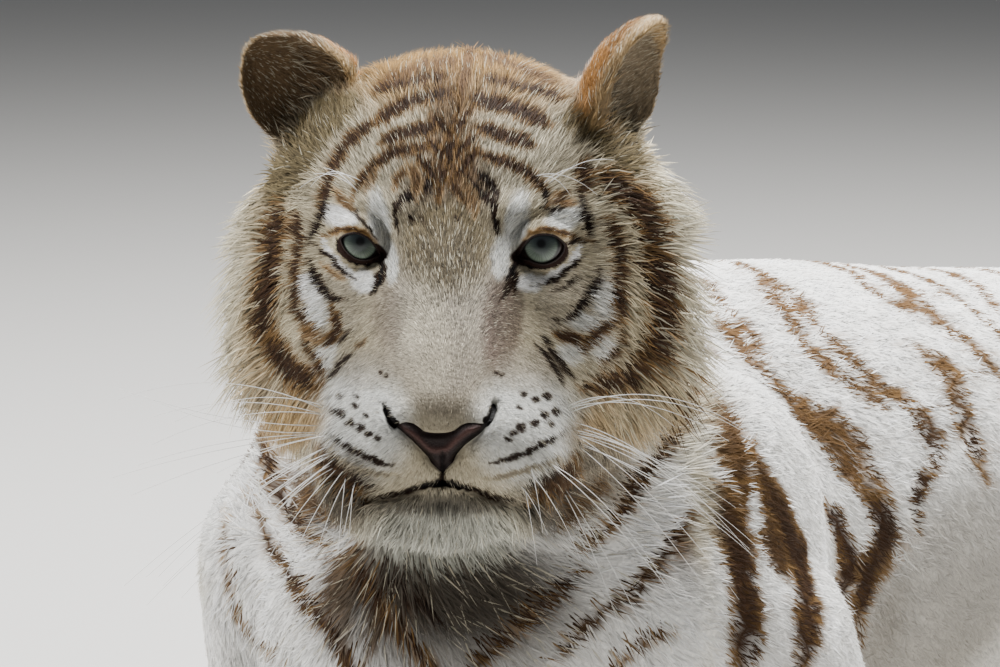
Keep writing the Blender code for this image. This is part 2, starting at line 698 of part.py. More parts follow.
def main():
    """Build the tiger."""
    clear_scene()
    tiger = collection_named("white_tiger")
    cutters = collection_named("cutters", shown=False)
    clay = bmesh.new()
    add_trunk(clay)
    for side in (-1, 1):
        add_foreleg(clay, side)
        add_hindleg(clay, side)
    add_tube(clay, tail_stations())
    body = merged_clay("belly", clay, BODY_VOXEL, SHAPE_SMOOTHING, BODY_TRIANGLES, tiger)
    cut_flat_on_floor(body)

    clay = bmesh.new()
    add_head(clay)
    head = merged_clay("head", clay, HEAD_VOXEL, HEAD_SMOOTHING, HEAD_TRIANGLES, tiger)
    press_eye_hollows(head)
    room = grown(head, 2 * GAP, "head_room", cutters)
    boolean(body, room, "DIFFERENCE")
    ears = []
    for side in (-1, 1):
        ears.append(boolean(add_ear(side, tiger, cutters), room, "DIFFERENCE"))

    eyes = []
    for side in (-1, 1):
        centre = Vector((EYE_SPACING / 2 * side, -EYE_CENTRE_FORWARD, 0))
        socket = ellipsoid_object(side_name("socket", side), centre, (EYE_RADIUS + 2 * GAP,) * 3, (0, 0, 0),
                                  HEAD_FRAME, cutters, EYE_POINTS)
        boolean(head, socket, "DIFFERENCE")
        eyes.append(ellipsoid_object(side_name("eye", side), centre, (EYE_RADIUS,) * 3, (0, 0, 0), HEAD_FRAME,
                                     tiger, EYE_POINTS))
    nose, jaw = part_head(head, tiger, cutters)

    coated = [body, head, jaw]
    for side in (-1, 1):
        coated += part_foreleg(body, side, tiger, cutters)
        coated += part_hindleg(body, side, tiger, cutters)
    coated += part_tail(body, tiger, cutters)
    coated += part_trunk(body, tiger, cutters)
    for piece in coated + ears:
        drop_crumbs(piece)
    centre_on_floor(list(tiger.objects))

    for group, finish in (
        (coated, material("coat", CREAM, 0.9)),
        (ears, material("ear_coat", EAR_GREY, 0.9)),
        (eyes, material("eye", IRIS_GREY, 0.1)),
        ([nose], material("nose_leather", NOSE_BROWN, 0.5)),
    ):
        for piece in group:
            piece.data.materials.clear()
            piece.data.materials.append(finish)
    for cutter in cutters.objects:
        cutter.hide_render = True
        cutter.display_type = "WIRE"


main()
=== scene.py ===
"""Looks of a lying white tiger, a life-size still model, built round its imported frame.

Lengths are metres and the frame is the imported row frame, unless a name says otherwise. Markings are drawn in
millimetres on flat charts: the face chart looks straight at the face, the flank chart unrolls the trunk along
the spine.
"""

import logging
import math
from dataclasses import dataclass, field, fields, replace
from enum import Enum

import bmesh
import bpy
import numpy as np
from mathutils import Matrix, Vector
from mathutils.bvhtree import BVHTree


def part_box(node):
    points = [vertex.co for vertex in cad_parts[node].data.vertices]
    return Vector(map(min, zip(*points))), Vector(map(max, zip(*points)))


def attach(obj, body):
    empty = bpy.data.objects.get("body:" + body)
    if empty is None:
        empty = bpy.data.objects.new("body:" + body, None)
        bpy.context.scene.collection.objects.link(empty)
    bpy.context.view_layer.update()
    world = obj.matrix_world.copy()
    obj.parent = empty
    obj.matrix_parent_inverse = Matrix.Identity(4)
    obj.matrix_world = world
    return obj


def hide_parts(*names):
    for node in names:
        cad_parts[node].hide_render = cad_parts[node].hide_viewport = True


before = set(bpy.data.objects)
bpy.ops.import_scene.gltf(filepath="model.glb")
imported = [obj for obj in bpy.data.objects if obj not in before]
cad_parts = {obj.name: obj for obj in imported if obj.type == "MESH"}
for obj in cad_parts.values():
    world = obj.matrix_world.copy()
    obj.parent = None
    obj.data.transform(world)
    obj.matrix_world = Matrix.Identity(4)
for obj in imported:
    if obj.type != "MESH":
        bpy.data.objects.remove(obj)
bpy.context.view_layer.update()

LOG = logging.getLogger("tiger")
MM = 0.001
SEED = 20

Path = tuple[tuple[float, float], ...]


# ---- tools ----


def unit(vectors: np.ndarray) -> np.ndarray:
    """Scales each row to length one."""
    return vectors / np.maximum(np.linalg.norm(vectors, axis=-1, keepdims=True), 1e-9)


def ramp(low: float, high: float, value: np.ndarray) -> np.ndarray:
    """Rises smoothly from 0 at low to 1 at high, or falls when low is above high."""
    share = np.clip((value - low) / (high - low), 0.0, 1.0)
    return share * share * (3.0 - 2.0 * share)


def ball(points: np.ndarray, centre: tuple[float, ...], radii: tuple[float, ...]) -> np.ndarray:
    """A soft mound: 1 at the centre, 0 outside the radii."""
    reach = ((points - np.array(centre)) / np.array(radii)) ** 2
    return np.clip(1.0 - reach.sum(axis=1), 0.0, 1.0) ** 2


def linear(red: int, green: int, blue: int) -> np.ndarray:
    """Turns a paint colour of three bytes into the light-linear colour that shaders use."""
    share = np.array([red, green, blue]) / 255.0
    return np.where(share <= 0.04045, share / 12.92, ((share + 0.055) / 1.055) ** 2.4)


def ripple(points: np.ndarray, size: float, seed: int) -> np.ndarray:
    """A smooth wandering value made of crossed waves, for edges and tints that shouldn't run straight.

    Args:
        points: Rows of points.
        size: The length over which the value wanders.
        seed: Which of the many such fields.

    Returns:
        A value from about -1 to 1 at each point.
    """
    wobble = np.random.default_rng(seed)
    total = np.zeros(len(points))
    for _ in range(7):
        way = wobble.normal(size=points.shape[1])
        way *= wobble.uniform(0.6, 1.7) * 2.0 * math.pi / (size * np.linalg.norm(way))
        total += np.sin(points @ way + wobble.uniform(0.0, 6.28))
    return total / 3.2


def wander(points: np.ndarray, size: float, seed: int, axes: int = 2) -> np.ndarray:
    """Ripples as rows of shifts, one ripple to an axis, with seeds counted up from the one given."""
    return np.stack([ripple(points, size, seed + axis) for axis in range(axes)], axis=1)


def tinge(colours: np.ndarray, paint: np.ndarray, share: np.ndarray) -> None:
    """Draws colours toward a paint, in place."""
    colours += (paint - colours) * share[:, None]


def smooth_line(path: Path) -> np.ndarray:
    """Rounds a path into a line of short steps.

    Args:
        path: The path's knots.

    Returns:
        Rows of places, several to each stretch of the path.
    """
    knots = np.array(path, float)
    if len(knots) < 3:
        return knots
    padded = np.vstack([2 * knots[0] - knots[1], knots, 2 * knots[-1] - knots[-2]])
    share = np.linspace(0.0, 1.0, 4, endpoint=False)[:, None]
    runs = []
    for before, start, end, after in zip(padded, padded[1:], padded[2:], padded[3:]):
        straight = 2 * start + (end - before) * share
        bent = (2 * before - 5 * start + 4 * end - after) * share**2
        runs.append(0.5 * (straight + bent + (3 * start - before - 3 * end + after) * share**3))
    return np.vstack([*runs, knots[-1:]])


def smooth_ring(knots: Path) -> np.ndarray:
    """Rounds knots into a closed ring of short steps; the first place isn't repeated."""
    return smooth_line(knots + knots[:1])[:-1]


def step_gap(places: np.ndarray, start: np.ndarray, end: np.ndarray) -> np.ndarray:
    """The distance from each place to one straight step.

    Args:
        places: Rows of places.
        start: Where the step starts.
        end: Where it ends.

    Returns:
        The distance of each place.
    """
    step = end - start
    share = np.clip((places - start) @ step / (step @ step), 0.0, 1.0)
    return np.linalg.norm(places - start - share[:, None] * step, axis=1)


def path_gap(places: np.ndarray, line: np.ndarray, margin: float = 30.0) -> np.ndarray:
    """The distance from each place to a line of short steps.

    Args:
        places: Rows of chart places.
        line: Rows of places along the line.
        margin: How far round the line distances are needed; beyond it they are huge.

    Returns:
        The distance from each place.
    """
    best = np.full(len(places), 1e9)
    low, high = line.min(axis=0) - margin, line.max(axis=0) + margin
    near = np.flatnonzero(((places > low) & (places < high)).all(axis=1))
    here, gaps = places[near], best[near]
    for start, end in zip(line, line[1:]):
        gaps = np.minimum(gaps, step_gap(here, start, end))
    best[near] = gaps
    return best


def ring_gap(places: np.ndarray, ring: np.ndarray) -> np.ndarray:
    """How far places are outside a closed ring; inside it the value is negative.

    Args:
        places: Rows of places.
        ring: Rows of places along the ring.

    Returns:
        The signed gap of each place.
    """
    best = np.full(len(places), 1e9)
    inside = np.zeros(len(places), bool)
    for start, end in zip(ring, np.roll(ring, -1, axis=0)):
        best = np.minimum(best, step_gap(places, start, end))
        step = end - start
        crosses = (start[1] > places[:, 1]) != (end[1] > places[:, 1])
        reach = start[0] + (places[:, 1] - start[1]) * step[0] / (step[1] if step[1] else 1e-12)
        inside ^= crosses & (places[:, 0] < reach)
    return np.where(inside, -best, best)


# ---- finishes ----


class Hue(Enum):
    """The colours of coat, skin, eyes and floor, as paint bytes."""

    SNOW = (243, 241, 236)
    CREAM = (216, 207, 182)
    OAT = (176, 164, 136)
    GOLD = (164, 134, 88)
    TAUPE = (144, 136, 122)
    ASH = (122, 113, 98)
    OLIVE = (106, 94, 68)
    MIST = (176, 176, 164)
    MILK = (206, 206, 200)
    SLATE = (74, 67, 58)
    BRONZE = (122, 94, 58)
    TAWNY = (106, 79, 51)
    UMBER = (92, 68, 43)
    SADDLE = (118, 89, 57)
    SAND = (170, 142, 104)
    HONEY = (132, 98, 42)
    TOFFEE = (152, 108, 62)
    WALNUT = (56, 38, 24)
    COCOA = (28, 18, 13)
    CHAR = (14, 10, 9)
    LID = (44, 31, 27)
    LIVER = (30, 20, 19)
    ROSE = (78, 53, 48)
    IRIS_EDGE = (98, 110, 98)
    IRIS_HEART = (58, 66, 64)
    IRIS_SHADE = (26, 31, 36)
    LIMBUS = (22, 20, 20)
    PUPIL = (6, 6, 8)
    EYE_WHITE = (40, 28, 24)
    LID_RIM = (38, 27, 24)
    FLOOR = (198, 196, 192)

    @property
    def paint(self) -> np.ndarray:
        """The light-linear colour."""
        return linear(*self.value)


@dataclass(frozen=True)
class Finish:
    """A surface of one painted kind, whose colour is the piece's own "tint" attribute."""

    name: str
    roughness: float
    specular: float = 0.3
    sheen: float = 0.0
    gloss: float = 0.0
    bump: float = 0.0
    bump_size: float = 0.004
    speckle: float = 0.0
    sheen_roughness: float = 0.6
    gloss_roughness: float = 0.03

    def build(self) -> bpy.types.Material:
        """Makes the material.

        Returns:
            The material, ready for a piece.
        """
        material = bpy.data.materials.new(self.name)
        material.use_nodes = True
        tree = material.node_tree
        shader = tree.nodes["Principled BSDF"]
        shader.inputs["Roughness"].default_value = self.roughness
        shader.inputs["Specular IOR Level"].default_value = self.specular
        shader.inputs["Sheen Weight"].default_value = self.sheen
        shader.inputs["Sheen Roughness"].default_value = self.sheen_roughness
        shader.inputs["Coat Weight"].default_value = self.gloss
        shader.inputs["Coat Roughness"].default_value = self.gloss_roughness
        tint = tree.nodes.new("ShaderNodeAttribute")
        tint.attribute_name = "tint"
        grain = tree.nodes.new("ShaderNodeGroup")
        grain.node_tree = grain_group()
        grain.inputs["Size"].default_value = self.bump_size
        grain.inputs["Amount"].default_value = self.speckle
        tree.links.new(tint.outputs["Color"], grain.inputs["Color"])
        tree.links.new(grain.outputs["Color"], shader.inputs["Base Color"])
        if self.bump:
            bump = tree.nodes.new("ShaderNodeBump")
            bump.inputs["Strength"].default_value = self.bump
            bump.inputs["Distance"].default_value = self.bump_size * 0.6
            tree.links.new(grain.outputs["Height"], bump.inputs["Height"])
            tree.links.new(bump.outputs["Normal"], shader.inputs["Normal"])
        return material


def grain_group() -> bpy.types.NodeTree:
    """The shared fine grain: it lightens and darkens a colour and gives a height for a bump.

    Returns:
        The node group, built on the first call.
    """
    known = bpy.data.node_groups.get("fine_grain")
    if known:
        return known
    group = bpy.data.node_groups.new("fine_grain", "ShaderNodeTree")
    for name, way, kind in (
        ("Color", "INPUT", "NodeSocketColor"),
        ("Size", "INPUT", "NodeSocketFloat"),
        ("Amount", "INPUT", "NodeSocketFloat"),
        ("Color", "OUTPUT", "NodeSocketColor"),
        ("Height", "OUTPUT", "NodeSocketFloat"),
    ):
        group.interface.new_socket(name, in_out=way, socket_type=kind)
    nodes, links = group.nodes, group.links
    ins, outs = nodes.new("NodeGroupInput"), nodes.new("NodeGroupOutput")
    place = nodes.new("ShaderNodeTexCoord")
    rate = nodes.new("ShaderNodeMath")
    rate.operation = "DIVIDE"
    rate.inputs[0].default_value = 1.0
    noise = nodes.new("ShaderNodeTexNoise")
    noise.inputs["Detail"].default_value = 3.0
    spread = nodes.new("ShaderNodeMapRange")
    spread.inputs["From Min"].default_value = 0.25
    spread.inputs["From Max"].default_value = 0.75
    spread.inputs["To Min"].default_value = -1.0
    shade = nodes.new("ShaderNodeMath")
    shade.operation = "MULTIPLY_ADD"
    shade.inputs[2].default_value = 1.0
    tone = nodes.new("ShaderNodeVectorMath")
    tone.operation = "SCALE"
    links.new(ins.outputs["Size"], rate.inputs[1])
    links.new(place.outputs["Object"], noise.inputs["Vector"])
    links.new(rate.outputs[0], noise.inputs["Scale"])
    links.new(noise.outputs[0], spread.inputs["Value"])
    links.new(spread.outputs[0], shade.inputs[0])
    links.new(ins.outputs["Amount"], shade.inputs[1])
    links.new(ins.outputs["Color"], tone.inputs[0])
    links.new(shade.outputs[0], tone.inputs["Scale"])
    links.new(tone.outputs[0], outs.inputs["Color"])
    links.new(noise.outputs[0], outs.inputs["Height"])
    return group


SKIN_FINISH = Finish("short_fur", roughness=0.9, specular=0.08, bump=0.7, bump_size=0.003, speckle=0.16)
FUR_FINISH = Finish("fur", roughness=0.72, specular=0.12)
EYE_FINISH = Finish("wet_eye", roughness=0.3, specular=0.2, gloss=0.45)
RIM_FINISH = Finish("lid_skin", roughness=0.55, specular=0.25, bump=0.25, bump_size=0.0012)
NOSE_FINISH = Finish("nose_leather", roughness=0.55, specular=0.16, bump=0.9, bump_size=0.0014, speckle=0.25)
WHISKER_FINISH = Finish("whisker", roughness=0.4, specular=0.5)


def dress(
    mesh: bpy.types.Mesh, name: str, finish: bpy.types.Material
) -> bpy.types.Object:
    """Puts a finished mesh in the scene as a piece that rides on the body.

    Args:
        mesh: The mesh, with its place in its own points.
        name: The piece's name.
        finish: Its material.

    Returns:
        The piece.
    """
    piece = bpy.data.objects.new(name, mesh)
    bpy.context.scene.collection.objects.link(piece)
    mesh.materials.clear()
    mesh.materials.append(finish)
    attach(piece, "root")
    mesh.calc_loop_triangles()
    LOG.info("%s: %d triangles", name, len(mesh.loop_triangles))
    return piece


def tint_mesh(mesh: bpy.types.Mesh, colours: np.ndarray) -> None:
    """Writes the colours of a mesh's points into its tint.

    Args:
        mesh: The mesh.
        colours: A light-linear colour for each point.
    """
    rgba = np.ones((len(mesh.vertices), 4), np.float32)
    rgba[:, :3] = np.clip(colours, 0.0, 1.0)
    layer = mesh.color_attributes.new("tint", "FLOAT_COLOR", "POINT")
    layer.data.foreach_set("color", rgba.ravel())


def points_of(mesh: bpy.types.Mesh) -> np.ndarray:
    """The mesh's points as rows.

    Args:
        mesh: The mesh.

    Returns:
        Rows of points.
    """
    flat = np.empty(len(mesh.vertices) * 3, np.float32)
    mesh.vertices.foreach_get("co", flat)
    return flat.reshape(-1, 3).astype(float)


def set_points(mesh: bpy.types.Mesh, points: np.ndarray) -> None:
    """Moves the mesh's points to these rows."""
    mesh.vertices.foreach_set("co", points.astype(np.float32).ravel())


def mesh_of(shape: bmesh.types.BMesh, name: str) -> bpy.types.Mesh:
    """Turns a finished shape into a mesh of its own.

    Args:
        shape: The shape, which is used up.
        name: The mesh's name.

    Returns:
        The mesh.
    """
    mesh = bpy.data.meshes.new(name)
    shape.to_mesh(mesh)
    shape.free()
    return mesh


def settled_mesh(shape: bmesh.types.BMesh, name: str) -> bpy.types.Mesh:
    """Turns a finished shape into a mesh whose faces stand in the same order on every run.

    Args:
        shape: The shape, which is used up.
        name: The mesh's name.

    Returns:
        The mesh.
    """
    shape.verts.index_update()
    rows = []
    for face in shape.faces:
        corners = [vert.index for vert in face.verts]
        first = corners.index(min(corners))
        rows.append(corners[first:] + corners[:first])
    points = [tuple(vert.co) for vert in shape.verts]
    shape.free()
    mesh = bpy.data.meshes.new(name)
    mesh.from_pydata(points, [], sorted(rows))
    return mesh


def normals_of(mesh: bpy.types.Mesh) -> np.ndarray:
    """The normals of the mesh's points as rows.

    Args:
        mesh: The mesh.

    Returns:
        Rows of directions.
    """
    flat = np.empty(len(mesh.vertices) * 3, np.float32)
    mesh.vertex_normals.foreach_get("vector", flat)
    return flat.reshape(-1, 3).astype(float)


# ---- frames ----


@dataclass
class HeadFrame:
    """The head's own axes, and the flat chart that looks straight at the face."""

    turn: float = 24.0
    nod: float = 15.0
    roll: float = 1.0
    eye_setback: float = 12 * MM
    look_turn: float = 28.0
    look_rise: float = 9.0
    look_distance: float = 3.0
    origin: np.ndarray = field(init=False)
    axes: np.ndarray = field(init=False)
    toward: np.ndarray = field(init=False)
    right: np.ndarray = field(init=False)
    rise: np.ndarray = field(init=False)
    eyes: dict[int, np.ndarray] = field(init=False)

    def __post_init__(self) -> None:
        """Sets the axes from the turn, nod and roll, and the origin from the eyes' places in the frame."""
        turn = Matrix.Rotation(math.radians(self.turn), 3, "Z")
        nod = Matrix.Rotation(math.radians(self.nod), 3, "X")
        roll = Matrix.Rotation(math.radians(self.roll), 3, "Y")
        self.axes = np.array(turn @ nod @ roll)
        self.eyes = {}
        for side, name in ((1, "eye_left"), (-1, "eye_right")):
            low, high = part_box(name)
            self.eyes[side] = np.array((low + high) / 2)
        middle = (self.eyes[1] + self.eyes[-1]) / 2
        self.origin = middle - self.axes @ np.array([0.0, self.eye_setback, 0.0])
        yaw, pitch = math.radians(self.look_turn), math.radians(self.look_rise)
        level = math.cos(pitch)
        self.toward = np.array([math.sin(yaw) * level, -math.cos(yaw) * level, math.sin(pitch)])
        self.right = np.array([math.cos(yaw), math.sin(yaw), 0.0])
        self.rise = np.cross(self.toward, self.right)

    def local(self, points: np.ndarray) -> np.ndarray:
        """Turns row-frame points into head places."""
        turned = (points - self.origin) @ self.axes
        return turned * np.array([1.0, -1.0, 1.0])

    def world(self, places: np.ndarray) -> np.ndarray:
        """Turns head places (left, forward, up) into row-frame points."""
        return (places * np.array([1.0, -1.0, 1.0])) @ self.axes.T + self.origin

    def aim(self, directions: np.ndarray) -> np.ndarray:
        """Turns head directions (left, forward, up) into row-frame directions."""
        return (directions * np.array([1.0, -1.0, 1.0])) @ self.axes.T

    def chart(self, points: np.ndarray) -> np.ndarray:
        """Places points on the face chart.

        Args:
            points: Rows of points.

        Returns:
            Rows of (across, up) in millimetres.
        """
        away = points - self.origin
        scale = self.look_distance / (self.look_distance - away @ self.toward) / MM
        return np.stack([(away @ self.right) * scale, (away @ self.rise) * scale], axis=1)

    def facing(self, normals: np.ndarray) -> np.ndarray:
        """How far each normal faces the chart, from -1 to 1."""
        return normals @ self.toward

    def ray(self, across: float, up: float) -> tuple[Vector, Vector]:
        """The line of sight through a place on the face chart.

        Args:
            across: Millimetres to the tiger's left.
            up: Millimetres up.

        Returns:
            Where the line starts, and its direction.
        """
        start = self.origin + self.toward * self.look_distance
        aim = self.right * across * MM + self.rise * up * MM - self.toward * self.look_distance
        return Vector(start), Vector(aim).normalized()


@dataclass
class SpineFrame:
    """The trunk's bent line on the ground, and the flat chart that unrolls the trunk along it."""

    bend: float = 32.0
    trunk_length: float = 1.12
    eyes_across: float = 0.121
    eyes_along: float = -0.391
    axis_height: float = 0.24
    girth_radius: float = 0.24
    shift: np.ndarray = field(init=False)
    radius: float = field(init=False)

    def place(self, head: HeadFrame) -> "SpineFrame":
        """Sets the frame from the head's place.

        Args:
            head: The head's frame.

        Returns:
            This frame.
        """
        self.shift = np.array([head.origin[0] - self.eyes_across, head.origin[1] - self.eyes_along])
        self.radius = self.trunk_length / math.radians(self.bend)
        return self

    def local(self, points: np.ndarray) -> np.ndarray:
        """Turns row-frame points into body places.

        Args:
            points: Rows of points.

        Returns:
            Rows of (along the spine toward the tail, left, height).
        """
        flat = points[:, :2] - self.shift
        reach = np.hypot(self.radius - flat[:, 0], flat[:, 1])
        along = np.arctan2(flat[:, 1], self.radius - flat[:, 0]) * self.radius
        straight = flat[:, 1] <= 0
        along = np.where(straight, flat[:, 1], along)
        return np.stack([along, np.where(straight, flat[:, 0], self.radius - reach), points[:, 2]], axis=1)

    def tailward(self, points: np.ndarray) -> np.ndarray:
        """The direction along the spine toward the tail at each point."""
        angle = np.maximum(self.local(points)[:, 0], 0.0) / self.radius
        return np.stack([np.sin(angle), np.cos(angle), np.zeros(len(points))], axis=1)

    def chart(self, points: np.ndarray) -> np.ndarray:
        """Unrolls points round the trunk.

        Args:
            points: Rows of points.

        Returns:
            Rows of (along, round from the back's ridge) in millimetres; round is the same on both sides.
        """
        along, left, height = self.local(points).T
        angle = np.arctan2(np.abs(left), height - self.axis_height)
        return np.stack([along / MM, angle * self.girth_radius / MM], axis=1)


@dataclass
class EarFrame:
    """One ear's own axes, at its root: across, backward and up to the tip."""

    head: HeadFrame
    side: int
    root: tuple[float, float, float] = (0.109, -0.124, 0.032)
    turn: dict[int, float] = field(default_factory=lambda: {1: 62.0, -1: -14.0})
    lean: float = 20.0
    tip_forward: float = 8.0
    shell_middle: tuple[float, float, float] = (0.0, 0.0, 0.040)
    shell_radii: tuple[float, float, float] = (0.047, 0.030, 0.058)
    cup_middle: tuple[float, float, float] = (0.0, -0.015, 0.044)
    cup_radii: tuple[float, float, float] = (0.039, 0.026, 0.049)

    def axes(self) -> np.ndarray:
        """The ear's axes as columns, in the head's own axes.

        Returns:
            The three axes.
        """
        lean = Matrix.Rotation(math.radians(self.lean * self.side), 3, "Y")
        turn = Matrix.Rotation(math.radians(self.turn[self.side]), 3, "Z")
        return np.array(lean @ turn @ Matrix.Rotation(math.radians(-self.tip_forward), 3, "X"))

    def local(self, points: np.ndarray) -> np.ndarray:
        """Turns row-frame points into ear places (across, backward, up).

        Args:
            points: Rows of points.

        Returns:
            Rows of places.
        """
        left, forward, up = self.root
        away = (points - self.head.origin) @ self.head.axes - np.array([left * self.side, -forward, up])
        return away @ self.axes()

    def aim(self, directions: np.ndarray) -> np.ndarray:
        """Turns ear directions into row-frame directions."""
        return directions @ self.axes().T @ self.head.axes.T

    def shell(self, local: np.ndarray) -> np.ndarray:
        """How far places are out toward the ear's outer surface, 1 on it."""
        return np.linalg.norm((local - np.array(self.shell_middle)) / np.array(self.shell_radii), axis=1)

    def cup(self, local: np.ndarray) -> np.ndarray:
        """How far places are out toward the hollow's wall, 1 on it."""
        return np.linalg.norm((local - np.array(self.cup_middle)) / np.array(self.cup_radii), axis=1)


# ---- markings ----


class Tone(Enum):
    """How a stroke is coloured: its edge hue, its core hue and how many millimetres wider the edge is."""

    DARK = (Hue.BRONZE, Hue.WALNUT, 2.4)
    CRISP = (Hue.WALNUT, Hue.COCOA, 1.2)
    INK = (Hue.COCOA, Hue.CHAR, 1.0)
    CREST = (Hue.BRONZE, Hue.UMBER, 3.0)
    BROWN = (Hue.SAND, Hue.UMBER, 3.0)
    BAND = (Hue.BRONZE, Hue.WALNUT, 6.0)
    TEMPLE = (Hue.OLIVE, Hue.OLIVE, 8.0)
    FAINT = (Hue.OAT, Hue.ASH, 1.5)
    WHITE = (Hue.SNOW, Hue.SNOW, 1.0)
    FLANK = (Hue.SADDLE, Hue.TAWNY, 4.0)


# The tones by short names, in their order above, for the rows of strokes.
DARK, CRISP, INK, CREST, BROWN, BAND, TEMPLE, FAINT, WHITE, FLANK = Tone


@dataclass(frozen=True)
class Stroke:
    """One painted mark: a line along a path, widest in the middle and narrowing to its ends."""

    tone: Tone
    width: float
    path: Path
    strength: float = 1.0
    taper: float = 0.3

    def lay(self, places: np.ndarray, colours: np.ndarray, weight: np.ndarray) -> None:
        """Paints the stroke over colours, in place.

        Args:
            places: Rows of chart places.
            colours: The colours so far.
            weight: How much each place takes of the chart's strokes.
        """
        line = smooth_line(self.path)
        edge_hue, core_hue, edge = self.tone.value
        reach = self.width / 2 + edge + 1.0
        boxed = (places > line.min(axis=0) - reach) & (places < line.max(axis=0) + reach)
        near = np.flatnonzero(boxed.all(axis=1) & (weight > 0.01))
        if not len(near):
            return
        here = places[near]
        steps = np.diff(line, axis=0)
        lengths = np.maximum(np.linalg.norm(steps, axis=1), 1e-6)
        runs = np.concatenate([[0.0], np.cumsum(lengths)])
        best = np.full(len(here), 1e9)
        for start, step, length, run in zip(line, steps, lengths, runs):
            share = np.clip((here - start) @ step / length**2, 0.0, 1.0)
            gap = np.linalg.norm(here - start - share[:, None] * step, axis=1)
            place = (run + share * length) / runs[-1]
            ends = 1.0
            if self.taper:
                ends = np.minimum(ramp(0, self.taper, place), ramp(1, 1 - self.taper, place))
            best = np.minimum(best, gap - self.width / 2 * (0.25 + 0.75 * ends))
        pull = (weight[near] * self.strength)[:, None]
        outer = ramp(edge * 0.6 + 0.4, -0.4, best)[:, None] * pull
        inner = ramp(0.5, -0.2 * self.width - 0.4, best)[:, None] * pull
        colours[near] = colours[near] * (1 - outer) + edge_hue.paint * outer
        colours[near] = colours[near] * (1 - inner) + core_hue.paint * inner


@dataclass(frozen=True)
class Patch:
    """A soft oval of colour on a chart."""

    hue: Hue
    centre: tuple[float, float]
    radii: tuple[float, float]
    strength: float = 1.0
    tilt: float = 0.0

    def lay(self, places: np.ndarray, colours: np.ndarray, weight: np.ndarray) -> None:
        """Paints the patch over colours, in place.

        Args:
            places: Rows of chart places.
            colours: The colours so far.
            weight: How much each place takes of the chart's patches.
        """
        angle = math.radians(self.tilt)
        spin = np.array([[math.cos(angle), -math.sin(angle)], [math.sin(angle), math.cos(angle)]])
        reach = np.linalg.norm(((places - np.array(self.centre)) @ spin) / np.array(self.radii), axis=1)
        tinge(colours, self.hue.paint, ramp(1.25, 0.6, reach) * self.strength * weight)


def strokes(*rows: tuple) -> tuple[Stroke, ...]:
    """Turns rows of a stroke's values, in the order of its fields, into strokes."""
    return tuple(Stroke(*row) for row in rows)


def patches(*rows: tuple) -> tuple[Patch, ...]:
    """Turns rows of a patch's values, in the order of its fields, into patches."""
    return tuple(Patch(*row) for row in rows)
